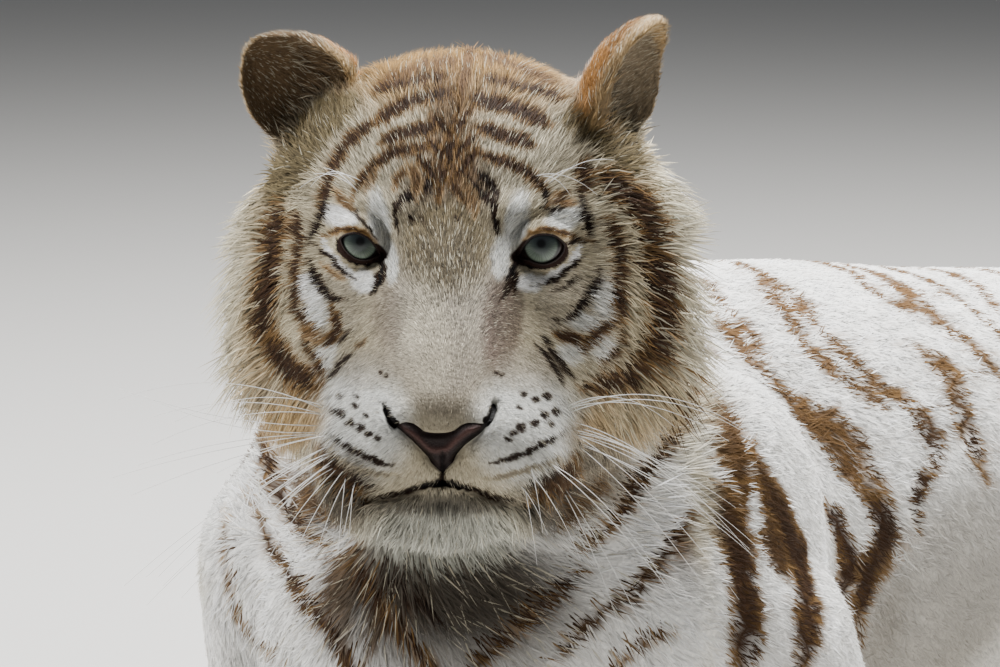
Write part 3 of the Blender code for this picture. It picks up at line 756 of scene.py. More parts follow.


# Soft ground colours of the face, throat and chest on the face chart, among them a painted highlight and
# painted shade where marked.
FACE_PATCHES = patches(
    (Hue.GOLD, (6, 132), (104, 40), 0.95),
    (Hue.SADDLE, (8, 142), (92, 28), 0.6),
    (Hue.HONEY, (10, 142), (96, 22), 0.8),
    (Hue.CREAM, (0, 66), (96, 40), 0.45),
    (Hue.ASH, (0, 74), (104, 62), 0.3),
    (Hue.ASH, (-2, 56), (46, 34), 0.6),
    (Hue.UMBER, (2, 78), (20, 48), 0.8, 4),
    (Hue.UMBER, (0, 42), (32, 24), 0.75),
    (Hue.TAUPE, (-4, -45), (52, 84)),
    (Hue.OLIVE, (-2, 4), (38, 36), 0.9),
    (Hue.SLATE, (-2, -4), (28, 26), 0.4),
    # Painted highlight: a pale strip down the lit right side of the bridge.
    (Hue.CREAM, (-18, -66), (20, 46), 0.3, 4),
    (Hue.ASH, (4, -92), (40, 32), 0.35),
    (Hue.ASH, (-6, -112), (26, 8), 0.5),
    # The sides of the bridge, rosy and darker: partly their own colour, partly painted shade, strongest on the
    # shaded left side.
    (Hue.ROSE, (38, -52), (16, 42), 0.62, -4),
    (Hue.SLATE, (41, -42), (13, 34), 0.4, -4),
    (Hue.ROSE, (-47, -46), (12, 30), 0.25, 6),
    (Hue.TAUPE, (-86, -40), (24, 30), 0.5),
    (Hue.TAUPE, (86, -40), (26, 26), 0.5),
    (Hue.OAT, (-122, -20), (12, 70), 0.6),
    (Hue.OAT, (134, -20), (12, 60), 0.6),
    (Hue.MILK, (-51, 19), (8, 26), 0.95, 8),
    (Hue.MILK, (48, 20), (9, 24), 0.95, -10),
    (Hue.SNOW, (-79, 24), (14, 9), 1.0, -12),
    # Painted shade: the left brow's white patch is greyer milk, where the right one is snow, as the left side
    # lies in shade.
    (Hue.MILK, (83, 22), (15, 9), 1.0, 12),
    (Hue.MILK, (-43, -9), (5.5, 16), 0.9, 4),
    (Hue.MILK, (37, -6), (7, 16), 0.9, -4),
    (Hue.SNOW, (-62, -23), (9, 9)),
    (Hue.SNOW, (58, -24), (10, 7)),
    (Hue.MILK, (-98, -48), (9, 16), 0.9, -8),
    (Hue.SNOW, (-102, -29), (7, 13), 0.9, 20),
    (Hue.MILK, (-91, -77), (8, 18), 0.85, -22),
    (Hue.MILK, (112, -36), (9, 18), 0.85, 6),
    (Hue.MILK, (98, -53), (14, 7), 0.85, -14),
    (Hue.MILK, (88, -75), (11, 9), 0.8),
    (Hue.MILK, (110, -70), (10, 12), 0.8),
    (Hue.MILK, (-66, -124), (38, 44), 0.95, 24),
    (Hue.MILK, (56, -130), (42, 42), 0.95, -24),
    (Hue.TAUPE, (-60, -86), (24, 16), 0.6),
    (Hue.TAUPE, (56, -88), (24, 18), 0.6),
    (Hue.SNOW, (-166, -190), (24, 110), 1.0, 8),
    (Hue.SNOW, (-150, -290), (70, 46)),
    (Hue.SNOW, (150, -270), (60, 50), 0.9),
    # The throat and the top of the chest: partly their own grey-brown fur, partly painted shadow under the
    # chin.
    (Hue.SLATE, (0, -262), (108, 58), 0.75),
    (Hue.SLATE, (-4, -246), (84, 40), 0.95),
    (Hue.GOLD, (-114, -124), (26, 20), 0.85, 20),
    # Grey-brown under the right whisker pad: partly its own dark fur, partly painted shade.
    (Hue.SLATE, (-84, -176), (28, 34), 0.9, -30),
    (Hue.GOLD, (126, -122), (44, 20), 0.7, 22),
    (Hue.OAT, (140, -112), (30, 16), 0.7, 22),
    # Grey-brown under the left whisker pad: partly its own dark fur, partly painted shade.
    (Hue.ASH, (100, -168), (40, 26), 0.95, 40),
    (Hue.SLATE, (76, -188), (26, 22), 0.9, 30),
    (Hue.MIST, (-5, -208), (62, 28), 0.9),
    (Hue.SLATE, (-5, -185), (54, 9), 0.75),
)

# Lines of the face, throat and chest on the face chart, in the order they are painted.
FACE_STROKES = strokes(
    # Soft bands from the ears down the temples.
    (TEMPLE, 24, ((-70, 109), (-90, 95), (-106, 77), (-119, 57), (-128, 38)), 1, 0.2),
    (TEMPLE, 22, ((84, 94), (102, 92), (120, 78), (136, 56)), 1, 0.2),
    # Crown arcs, from the front hairline back.
    (CREST, 6, ((-44, 139), (-22, 145), (8, 149), (36, 146), (56, 139)), 0.8),
    (CREST, 6.5, ((10, 136), (-12, 134), (-30, 129), (-52, 121)), 1, 0.15),
    (CREST, 6.5, ((20, 139), (42, 135), (62, 126), (82, 119)), 1, 0.15),
    (DARK, 7.5, ((4, 126), (-12, 124.5), (-30, 120.5), (-48, 117), (-58, 111)), 1, 0.15),
    (DARK, 7.5, ((20, 124), (42, 120.5), (62, 115), (86, 109)), 1, 0.15),
    # Forehead arcs on the right.
    (DARK, 11, ((6, 114), (-8, 112), (-28, 107), (-46, 97), (-60, 86)), 1, 0.2),
    (DARK, 9, ((-52, 94), (-71, 80), (-83, 63), (-90, 44), (-95, 30)), 1, 0.15),
    (DARK, 11, ((-8, 88), (-20, 87), (-36, 83), (-51, 76)), 1, 0.2),
    (DARK, 8, ((-2, 75), (-24, 73), (-42, 69), (-56, 59), (-66, 47), (-71, 35))),
    (CRISP, 8, ((-8, 63), (-12, 52), (-22, 42), (-33, 37), (-38, 27)), 0.95),
    (BROWN, 6, ((-20, 62), (-36, 53), (-41, 42))),
    (BROWN, 5, ((-52, 58), (-58, 48), (-62, 40)), 0.6),
    # Forehead arcs on the left.
    (DARK, 14, ((12, 112), (27, 107), (43, 103), (59, 97), (74, 88)), 1, 0.2),
    (DARK, 12, ((18, 89), (38, 83), (62, 74)), 1, 0.2),
    (DARK, 9, ((14, 74), (26, 67), (43, 62), (58, 54), (69, 42), (71, 31))),
    (CRISP, 7, ((4, 58), (17, 44), (30, 34), (33, 21)), 0.95),
    (CRISP, 6, ((17, 58), (30, 46), (36, 34)), 0.9),
    (DARK, 6, ((-2, 52), (8, 39), (19, 29)), 0.9),
    # The midline and the short lines that run into it.
    (CREST, 8, ((16, 152), (14, 138), (11, 126), (8, 106))),
    (DARK, 9, ((9, 108), (3, 84), (-2, 68), (-7, 50), (-8, 34))),
    (DARK, 6, ((18, 104), (8, 92), (3, 80))),
    (DARK, 6, ((-14, 98), (-4, 88), (2, 78))),
    (DARK, 6, ((22, 84), (10, 74), (2, 62))),
    (DARK, 6, ((-18, 82), (-8, 70), (-4, 60))),
    (DARK, 6, ((22, 74), (12, 62), (2, 50))),
    (DARK, 6, ((-26, 72), (-16, 60), (-8, 46))),
    (BROWN, 7, ((-30, 62), (-24, 50), (-24, 36)), 0.9),
    (BROWN, 7, ((10, 50), (16, 36), (18, 22)), 0.7),
    # Short dashes over the bridge.
    (CRISP, 3.2, ((-38, 38), (-40, 30), (-38, 17), (-38, 11)), 0.95),
    (CRISP, 4.5, ((-31, 26), (-25, 19)), 0.9),
    (CRISP, 3, ((-21, 24), (-18, 17)), 0.7),
    (CRISP, 3, ((4, 26), (6, 18)), 0.7),
    (CRISP, 4, ((31, 28), (33, 20), (35, 10))),
    (CRISP, 4, ((24, 40), (31, 31)), 0.8),
    # Brow lines over the eyes.
    (CRISP, 3, ((-82, 38), (-70, 28), (-60, 18), (-52, 7)), 0.8),
    (BROWN, 6, ((-84, 44), (-78, 36), (-70, 29)), 0.9),
    (CRISP, 6, ((-87, 42), (-91, 30), (-95, 22), (-98, 14), (-102, 4))),
    (BROWN, 9, ((75, 39), (81, 36), (88, 32))),
    (CRISP, 3.5, ((65, 30), (73, 28), (83, 30)), 0.95),
    (CRISP, 4.5, ((69, 44), (69, 32)), 0.95),
    (CRISP, 7, ((93, 44), (97, 30), (100, 20), (102, 12), (106, 4))),
    # Upper lid folds.
    (BROWN, 5, ((-92, 8), (-84, 12), (-75, 14), (-66, 13), (-58, 9), (-52, 3)), 0.8),
    (BROWN, 5, ((53, 6), (59, 11), (65, 13.5), (72, 13.5), (82, 10.5), (92, 8)), 0.8),
    (DARK, 2.6, ((-94, 9), (-85, 13), (-75, 15), (-66, 13.5), (-58, 9.5)), 0.9),
    (DARK, 3, ((59, 12), (65, 14.5), (72, 14.5), (82, 12), (92, 8), (103, 5)), 0.9),
    # White bands round the lids.
    (WHITE, 6, ((-92, 7), (-87, -3), (-79, -13), (-68, -21), (-59, -29))),
    (WHITE, 6, ((94, 2), (90, -8), (82, -16), (71, -21), (58, -25))),
    # Dark rims, corners and tear lines.
    (INK, 3.6, ((-82, 8), (-80, 1), (-74, -6), (-65, -9.5), (-56, -9), (-51, -7)), 1, 0.15),
    (INK, 7.5, ((-52, -3), (-49, -12), (-50, -21), (-54, -31)), 1, 0.6),
    (CRISP, 2.6, ((-52, -16), (-54.5, -25), (-57, -33)), 1, 0.3),
    (CRISP, 2, ((-47, -10), (-46.5, -16), (-47.5, -22)), 1, 0.3),
    (CRISP, 3.4, ((84, 4), (93, 6), (100, 5)), 1, 0.3),
    (INK, 3.4, ((86, 2), (83, -5), (77, -10.5), (68, -13.5), (58, -12), (50, -9)), 1, 0.15),
    (INK, 8, ((50, -5), (46, -14), (44, -23), (38, -36)), 1, 0.6),
    (CRISP, 2.6, ((50, -15), (48, -24), (46, -34)), 1, 0.3),
    (CRISP, 3, ((44, -20), (39, -34), (35, -40)), 0.8, 0.3),
    # Arcs outside and below the eyes.
    (CRISP, 4, ((-97, 3), (-92, -2), (-86, -6), (-81, -12), (-76, -17), (-68, -21))),
    (BROWN, 3, ((-93, -10), (-88, -14), (-82, -19), (-76, -21)), 0.9),
    (CRISP, 7.5, ((-102, -7), (-100, -14), (-98, -20), (-93, -27), (-88, -33), (-82, -36), (-76, -35))),
    (CRISP, 4, ((97, -5), (92, -10), (86, -14), (80, -20), (73, -23), (64, -26))),
    (CRISP, 3.6, ((95, -20), (88, -23), (84, -27), (75, -30)), 0.8),
    (CRISP, 7.5, ((108, -13), (108, -22), (104, -28), (99, -36), (94, -42), (90, -48), (84, -51))),
    # Cheek hooks.
    (DARK, 8, ((-86, -40), (-83, -50), (-82, -58), (-88, -66), (-97, -68))),
    (BROWN, 9, ((-107, -52), (-101, -60), (-93, -66)), 0.95),
    (DARK, 8, ((-110, 30), (-111, 15), (-110, 0), (-112, -10), (-113, -25), (-112, -40), (-108, -49),
        (-101, -57)), 1, 0.15),
    (DARK, 6, ((-107, -60), (-104, -70), (-99, -78), (-94, -86), (-92, -98))),
    (DARK, 10, ((113, 24), (118, 16), (121, 5), (123, -10), (123, -30), (124, -45), (125, -58)), 1, 0.12),
    (DARK, 9, ((125, -52), (118, -54), (109, -59), (101, -68), (97, -76))),
    (DARK, 7.5, ((74, -60), (83, -63), (91, -65), (100, -69))),
    (DARK, 6, ((126, -56), (124, -68), (118, -78), (108, -84)), 0.9),
    # Streaks running down to the lip.
    (CRISP, 3, ((-72, -57), (-77, -63), (-81, -69)), 0.8),
    (DARK, 3, ((-61, -64), (-64, -67), (-68, -71)), 0.7),
    (CRISP, 4, ((-70, -73), (-77, -80), (-85, -89), (-90, -97)), 0.85),
    (CRISP, 4, ((60.7, -66), (70, -77), (78, -88), (83, -99)), 0.9),
    (CRISP, 4.6, ((69, -68), (77, -77), (83, -85), (90, -94)), 0.9),
    (CRISP, 3.6, ((66, -62), (74, -69)), 0.8),
    (CRISP, 3, ((75, -51), (80, -53)), 0.7),
    # Wide bands of the ruff.
    (BAND, 16, ((-123, 34), (-128, 11), (-131, -11), (-134, -33), (-134, -55), (-127, -74),
        (-116, -90)), 1, 0.12),
    (BAND, 20, ((-131, -62), (-122, -80), (-110, -92), (-97, -102)), 1, 0.3),
    (BAND, 18, ((112, 56), (126, 42), (138, 31), (147, 11), (150, -8)), 1, 0.15),
    (BAND, 20, ((149, 0), (153, -20), (154, -40), (153, -58), (148, -78), (135, -92)), 1, 0.12),
    (BAND, 16, ((148, -78), (135, -91), (116, -98), (97, -101)), 0.95, 0.3),
    (DARK, 13, ((97, 64), (98, 52), (99, 42)), 1, 0.2),
    (DARK, 6, ((87, 42), (75, 33)), 0.8),
    # Stripes of the chest, which run down and in on both sides.
    (BROWN, 3.5, ((-163, -186), (-164, -212), (-162, -236), (-158, -254), (-149, -274), (-137, -287),
        (-118, -301))),
    (BROWN, 5, ((-147, -174), (-136, -200), (-126, -221), (-116, -238)), 0.85),
    (DARK, 11, ((-128, -218), (-115, -237), (-105, -256), (-94, -270), (-83, -285), (-75, -301),
        (-66, -322)), 1, 0.2),
    (DARK, 10, ((-79, -221), (-68, -235), (-56, -253), (-45, -270), (-30, -285), (-16, -301),
        (-6, -318)), 1, 0.2),
    (CRISP, 8, ((-52, -230), (-36, -248), (-16, -262), (0, -278)), 0.8),
    (DARK, 11, ((177, -188), (163, -212), (148, -234), (128, -253), (111, -265), (94, -279),
        (76, -298)), 0.95, 0.2),
    (DARK, 10, ((96, -232), (73, -253), (59, -265), (42, -279), (27, -291), (16, -305)), 1, 0.2),
    (BROWN, 7, ((163, -277), (147, -281), (134, -290), (124, -301), (118, -318)), 1, 0.2),
    # Lower bands behind the whiskers.
    (BAND, 11, ((-138, -128), (-134, -147), (-130, -164), (-122, -180), (-112, -194), (-103, -205),
        (-90, -214)), 1),
    (BAND, 12, ((-96, -140), (-92, -152), (-84, -163), (-74, -172), (-62, -182)), 0.9),
    (BAND, 9, ((-118, -150), (-110, -168), (-98, -184), (-84, -198)), 0.8),
    (BAND, 8, ((-136, -203), (-129, -216), (-121, -228)), 0.9),
    (BAND, 12, ((180, -92), (172, -112), (163, -133), (152, -150), (138, -166), (126, -188), (112, -204),
        (94, -216)), 1),
    (BAND, 13, ((92, -150), (84, -164), (72, -174), (58, -184)), 0.9),
    (BAND, 9, ((112, -160), (104, -176), (92, -190), (78, -202)), 0.75),
    # Whisker rows and pad spots.
    (CRISP, 4.6, ((-87, -132), (-82, -138), (-76, -142), (-62, -149), (-48, -155), (-40, -155)), 0.95),
    (FAINT, 3.6, ((-87, -142), (-81, -151), (-74, -157), (-57, -161.6), (-37, -163)), 0.9),
    (CRISP, 4.6, ((83, -131), (75, -137), (67, -140.7), (59, -145), (50, -148.7), (40, -152),
        (28, -154)), 0.95),
    (FAINT, 3.6, ((82, -149), (74, -154), (54, -160), (33, -165), (23, -165)), 0.9),
    # Lip edge and mouth line.
    (CRISP, 4, ((-92, -146), (-79, -159), (-72, -166), (-62, -172), (-57, -177)), 0.9),
    (CRISP, 4, ((88, -155), (75, -163), (62, -171), (52, -178)), 0.9),
    (CRISP, 3.2, ((-57, -179), (-40, -177), (-24, -172.5), (-14, -169), (-5.5, -167.5)), 1, 0.15),
    (CRISP, 3.2, ((-5.5, -167.5), (6, -171), (15, -173), (25, -177), (34, -180), (51, -182)), 1, 0.15),
    (INK, 5.4, ((-30, -173.5), (-18, -170.5), (-5.5, -168.5), (7, -171), (20, -174.5)), 1, 0.4),
    (CRISP, 3.4, ((-5.5, -156), (-5.5, -168)), 1, 0.0),
    # Slits at the wings of the nose, inked as painted shade in the slits.
    (INK, 5.4, ((-46.5, -113), (-44, -121), (-37.5, -128.5)), 1, 0.2),
    (INK, 5.4, ((31.5, -112), (29.5, -119), (25, -126)), 1, 0.2),
)

# Small dark spots of the whisker pads on the face chart: across, up and width.
PAD_SPOTS = (
    (-50, -88, 2.4), (-46, -91, 2.0), (-80, -105, 3.4), (-68, -105.5, 3), (-68.6, -112, 3.4),
    (-60.7, -119, 3), (-85, -115, 4.6), (-79, -118, 5), (-72.5, -124.5, 5), (-65, -128, 5),
    (-59, -132.5, 4.5), (-53, -136, 4), (33, -88.7, 2.8), (37.3, -89.3, 2.6), (52.7, -104, 3.2),
    (62, -108, 4.4), (70, -105.5, 6), (50, -113.6, 3), (76.7, -116.5, 6), (68, -118.7, 5.6),
    (61, -125, 5.4), (73, -126, 4), (51, -128, 6), (46, -132, 4.2), (42, -136.7, 4),
)


class Zone(Enum):
    """The kinds of coat, with the CAD nodes each lies on."""

    HEAD = ("head", "lower_jaw", "nose", "eye_left", "eye_right")
    EAR = ("ear_left", "ear_right")
    NECK = ("neck",)
    CHEST = ("chest",)
    TRUNK = ("belly", "rump")
    SHOULDER = ("shoulder_left", "shoulder_right")
    FORELEG = ("forearm_left", "forearm_right")
    THIGH = ("thigh_left", "thigh_right")
    SHANK = ("shank_left", "shank_right")
    PAW = ("forepaw_left", "forepaw_right", "hind_paw_left", "hind_paw_right")
    TAIL = ("tail_base", "tail_middle", "tail_tip")


ZONES = list(Zone)


@dataclass
class TailLine:
    """The tail's middle line, from the rump along the floor."""

    length: float = 0.92
    root_along: float = 1.080
    base_radius: float = 0.046
    tip_radius: float = 0.024
    base_height: float = 0.200
    drop_share: float = 0.30
    side_curl: float = 2.4
    root_curl: float = 1.0
    steps: int = 44

    def stations(self, spine: SpineFrame) -> np.ndarray:
        """Points along the middle line.

        Args:
            spine: The trunk's frame.

        Returns:
            Rows of points, from the root to the tip.
        """
        heading = self.root_along / spine.radius
        point = np.array([spine.radius * (1 - math.cos(heading)), spine.radius * math.sin(heading)])
        step = self.length / self.steps
        rows = []
        for index in range(self.steps + 1):
            share = index / self.steps
            radius = self.base_radius + (self.tip_radius - self.base_radius) * share
            drop = 0.5 + 0.5 * math.cos(math.pi * min(share / self.drop_share, 1))
            rows.append([*(point + spine.shift), radius + (self.base_height - radius) * drop])
            curl = self.side_curl * math.sin(math.pi * share) ** 2 + self.root_curl * (1 - share)
            heading += curl * step
            point = point + np.array([math.sin(heading), math.cos(heading)]) * step
        return np.array(rows)


@dataclass
class Body:
    """The frames that every piece shares."""

    head: HeadFrame
    spine: SpineFrame
    tail: TailLine
    tail_line: np.ndarray = field(init=False)

    def __post_init__(self) -> None:
        """Lays out the tail's line."""
        self.tail_line = self.tail.stations(self.spine)

    def along_tail(self, points: np.ndarray) -> tuple[np.ndarray, np.ndarray]:
        """How far along the tail points are, and which way it runs there.

        Args:
            points: Rows of points.

        Returns:
            The share of the tail's length, and rows of directions toward the tip.
        """
        gaps = ((points[:, None, :] - self.tail_line[None]) ** 2).sum(axis=2)
        nearest = gaps.argmin(axis=1)
        ways = unit(np.gradient(self.tail_line, axis=0))
        return nearest / (len(self.tail_line) - 1), ways[nearest]


@dataclass
class Surface:
    """Points on the coat's skin with what is known at each: the normal and the share of each zone."""

    points: np.ndarray
    normals: np.ndarray
    zones: np.ndarray

    def share(self, *zones: Zone) -> np.ndarray:
        """How much of each point belongs to these zones together."""
        return sum(self.zones[:, ZONES.index(zone)] for zone in zones)


def node_middle(name: str) -> np.ndarray:
    """The middle of a node's box."""
    low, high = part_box(name)
    return np.array((low + high) / 2)


# How many dark rings the tail has, and the share of its length where its dark tip begins.
TAIL_RINGS = 9.5
TAIL_TIP = 0.955

# Half the width of the ruff at a few heights on the face chart.
RUFF_HEIGHTS = (-230, -40, 60, 130)
RUFF_HALF_WIDTHS = (190, 168, 158, 120)


@dataclass
class Markings:
    """The painted pattern, the same for skin and coat."""

    body: Body

    def paint(self, surface: Surface) -> np.ndarray:
        """Colours every point.

        Args:
            surface: The points.

        Returns:
            A light-linear colour for each point.
        """
        points = surface.points
        colours = self._ground(surface)
        self._trunk(surface, colours)
        self._limbs(surface, colours)
        self._face(surface, colours)
        self._ears(surface, colours)
        drift = 1.0 + 0.07 * ripple(points, 0.09, 3) + 0.05 * ripple(points, 0.02, 4)
        return colours * drift[:, None]

    def _ground(self, surface: Surface) -> np.ndarray:
        """The coat's ground colour.

        Args:
            surface: The points to be painted.

        Returns:
            A light-linear colour for each point.
        """
        points = surface.points
        colours = np.tile(Hue.SNOW.paint, (len(points), 1))
        height = points[:, 2]
        low = ramp(0.30, 0.02, height) * surface.share(Zone.TRUNK, Zone.CHEST) * 0.45
        tinge(colours, Hue.CREAM.paint, low)
        local = self.body.head.local(points)
        head = surface.share(Zone.HEAD)
        tinge(colours, Hue.OAT.paint, head * 0.85)
        side = head * ramp(0.115, 0.150, np.abs(local[:, 0])) * ramp(-0.19, -0.12, local[:, 2])
        tinge(colours, Hue.GOLD.paint, side * 0.75)
        neck = surface.share(Zone.NECK) * ramp(0.30, 0.52, height)
        tinge(colours, Hue.CREAM.paint, neck * 0.6)
        nape = surface.share(Zone.NECK, Zone.HEAD) * ramp(-0.30, -0.13, local[:, 1])
        nape = nape * ramp(-0.20, -0.05, local[:, 2])
        tinge(colours, Hue.OAT.paint, nape * 0.7)
        return colours

    def _face(self, surface: Surface, colours: np.ndarray) -> None:
        """Paints the face and the front of the neck from the face chart.

        Args:
            surface: The points to be painted.
            colours: The colours so far, changed in place.
        """
        head = self.body.head
        facing = ramp(-0.25, 0.15, head.facing(surface.normals))
        places = head.chart(surface.points)
        throat = surface.share(Zone.NECK, Zone.CHEST) * ramp(-84, -98, places[:, 1])
        throat += surface.share(Zone.SHOULDER) * ramp(-138, -154, places[:, 1])
        throat *= ramp(200, 176, places[:, 0]) * ramp(-230, -200, places[:, 0])
        throat *= ramp(-0.05, 0.25, head.facing(surface.normals))
        weight = facing * np.clip(surface.share(Zone.HEAD) * 1.4 + throat * 1.2, 0.0, 1.0)
        places = places + wander(places, 9.0, 11) * 0.8
        half = np.interp(places[:, 1], RUFF_HEIGHTS, RUFF_HALF_WIDTHS)
        rim = ramp(0.5, 1.0, np.abs(places[:, 0] - 4) / half)
        edge = ramp(0.86, 1.0, rim) * weight * ramp(130, 90, places[:, 1])
        tinge(colours, Hue.CREAM.paint, edge * 0.85)
        for patch in FACE_PATCHES:
            patch.lay(places, colours, weight)
        for stroke in FACE_STROKES:
            stroke.lay(places, colours, weight)
        for across, up, size in PAD_SPOTS:
            spot = Stroke(Tone.CRISP, size, ((across - 0.7, up), (across + 0.7, up - 0.5)), 0.95, 0.0)
            spot.lay(places, colours, weight)
        for side in (1, -1):
            socket = EyeSocket(head, side)
            flat = socket.flat(surface.points)
            near = np.flatnonzero((np.hypot(flat[:, 0], flat[:, 1]) < 0.028) & (flat[:, 2] > 0))
            gap = socket.gap(flat[near, 0], flat[near, 1])
            dark = 1 - ramp(0.75, 1.15, gap / socket.bare_width(flat[near]))
            colours[near] += (Hue.LID.paint - colours[near]) * dark[:, None]

    def _ears(self, surface: Surface, colours: np.ndarray) -> None:
        """Paints the ears: pale rims, a dark hollow, partly its own colour and partly painted shade of the
        recess, and a brown back with a pale spot.

        Args:
            surface: The points to be painted.
            colours: The colours so far, changed in place.
        """
        for side in (1, -1):
            ear = EarFrame(self.body.head, side)
            local = ear.local(surface.points)
            on_ear = np.clip(surface.share(Zone.EAR) * 1.3, 0.0, 1.0) * (ear.shell(local) < 1.6)
            back = ramp(-0.004, 0.006, local[:, 1]) * ramp(0.78, 0.9, ear.shell(local))
            hollow = (1 - back) * ramp(1.25, 1.12, ear.cup(local)) * ramp(0.97, 0.86, ear.shell(local))
            foot = ramp(0.012, 0.0, local[:, 2])
            spot = ball(local[:, [0, 2]], (0.0, 0.056), (0.026, 0.022))
            for hue, share in (
                (Hue.GOLD, on_ear * 0.95),
                (Hue.TOFFEE, on_ear * back),
                (Hue.WALNUT, on_ear * back * ramp(0.070, 0.092, local[:, 2]) * 0.6),
                (Hue.SNOW, on_ear * back * np.minimum(spot * 3, 1) * 0.9),
                # the hollow's grey, deepest in the right ear: partly its own colour, partly painted shade of
                # the recess
                (Hue.SLATE if side < 0 else Hue.ASH, on_ear * hollow * 0.8),
                (Hue.UMBER, on_ear * hollow * (0.45 if side < 0 else 0.1)),
                (Hue.CREAM, on_ear * foot * 0.7),
            ):
                tinge(colours, hue.paint, share)

    def _trunk(self, surface: Surface, colours: np.ndarray) -> None:
        """Paints the trunk, shoulders and thighs from the flank chart, paler on the back than low down, with
        painted shade low.

        Args:
            surface: The points to be painted.
            colours: The colours so far, changed in place.
        """
        places = self.body.spine.chart(surface.points)
        places = places + wander(places, 60.0, 21) * 3.0
        places[:, 0] -= FLANK_SHIFT
        left = self.body.spine.local(surface.points)[:, 1]
        behind = surface.share(Zone.HEAD) * ramp(0.0, -0.4, self.body.head.facing(surface.normals))
        trunk = surface.share(Zone.TRUNK, Zone.CHEST, Zone.SHOULDER, Zone.THIGH, Zone.NECK) + behind
        trunk = np.clip(trunk * 1.3, 0.0, 1.0)
        low = ramp(110, 300, places[:, 1])
        for side in (1, -1):
            weight = trunk * ramp(-0.012, 0.012, left * side)
            moved = places + wander(places, 110.0, 23) * (6.0 if side < 0 else 0.0)
            # painted shade of the low fold on the flank
            for patch in FLANK_FOLD_SHADE:
                patch.lay(places, colours, weight)
            for stroke in FLANK_STROKES:
                stroke.lay(moved, colours, weight)
                replace(stroke, tone=Tone.BAND).lay(moved, colours, weight * low)

    def stray(self, surface: Surface) -> tuple[np.ndarray, np.ndarray]:
        """How many of the tufts are strays, darker or paler than the coat round them.

        Args:
            surface: Where the tufts are.

        Returns:
            The share of dark tufts and of pale ones at each point.
        """
        head = self.body.head
        places = head.chart(surface.points)
        face = ramp(-0.2, 0.2, head.facing(surface.normals)) * surface.share(Zone.HEAD)
        dark = 0.40 * ball(places, (-6, -8), (54, 66)) + 0.26 * ball(places, (0, 78), (104, 80))
        dark = dark + 0.14 * ball(places, (-2, -188), (70, 22)) + 0.34 * ball(places, (-2, -60), (60, 90))
        dark *= face
        pale = 0.18 * surface.share(Zone.EAR) + face * (0.05 + 0.2 * ball(places, (-2, -50), (56, 90)))
        throat = ramp(-0.1, 0.2, head.facing(surface.normals)) * surface.share(Zone.NECK, Zone.CHEST)
        pale = pale + throat * 0.07 * ramp(-150, -190, places[:, 1]) * ramp(190, 150, np.abs(places[:, 0]))
        return dark, pale

    def _limbs(self, surface: Surface, colours: np.ndarray) -> None:
        """Paints the rings of the tail and the bars of the legs.

        Args:
            surface: The points to be painted.
            colours: The colours so far, changed in place.
        """
        tail = surface.share(Zone.TAIL)
        on_tail = np.flatnonzero(tail > 0.02)
        if len(on_tail):
            share, _ = self.body.along_tail(surface.points[on_tail])
            bent = ripple(surface.points[on_tail], 0.12, 31) * 0.012
            ring = 0.5 + 0.5 * np.cos((share + bent) * math.tau * TAIL_RINGS)
            dark = ramp(0.52, 0.76, ring) * tail[on_tail]
            dark = np.maximum(dark, ramp(TAIL_TIP, TAIL_TIP + 0.015, share) * tail[on_tail])
            colours[on_tail] += (Hue.WALNUT.paint - colours[on_tail]) * (dark * 0.85)[:, None]
        for bars in LEG_BARS:
            bars.lay(surface, colours)


@dataclass(frozen=True)
class LegBars:
    """The broken bars across one limb, counted from one node of it to the next."""

    zone: Zone
    start: str
    end: str
    count: float
    shift: float

    def lay(self, surface: Surface, colours: np.ndarray) -> None:
        """Paints the bars over colours, in place, on the outer and upper sides of the limb.

        Args:
            surface: The points.
            colours: The colours so far.
        """
        start = node_middle(self.start)
        way = node_middle(self.end) - start
        away = surface.points - start
        near = np.flatnonzero((surface.share(self.zone) > 0.05) & (np.linalg.norm(away, axis=1) < 0.42))
        if not len(near):
            return
        share = away[near] @ way / (way @ way)
        here = surface.points[near]
        bent = ripple(here, 0.16, 51) * 0.05 + ripple(here, 0.05, 52) * 0.014
        ring = 0.5 + 0.5 * np.cos((share + bent) * math.tau * self.count + self.shift)
        shown = ramp(-0.35, 0.25, surface.normals[near, 2] + ripple(here, 0.14, 53) * 0.5)
        dark = ramp(0.56, 0.72, ring) * shown * surface.share(self.zone)[near]
        colours[near] += (Hue.WALNUT.paint - colours[near]) * (dark * 0.85)[:, None]


LEG_BARS = tuple(
    LegBars(zone, f"{start}_{side}", f"{end}_{side}", count, shift)
    for side, shift in (("left", 0.4), ("right", 2.0))
    for zone, start, end, count in (
        (Zone.FORELEG, "forearm", "forepaw", 3.8),
        (Zone.SHANK, "shank", "hind_paw", 3.8),
    )
)


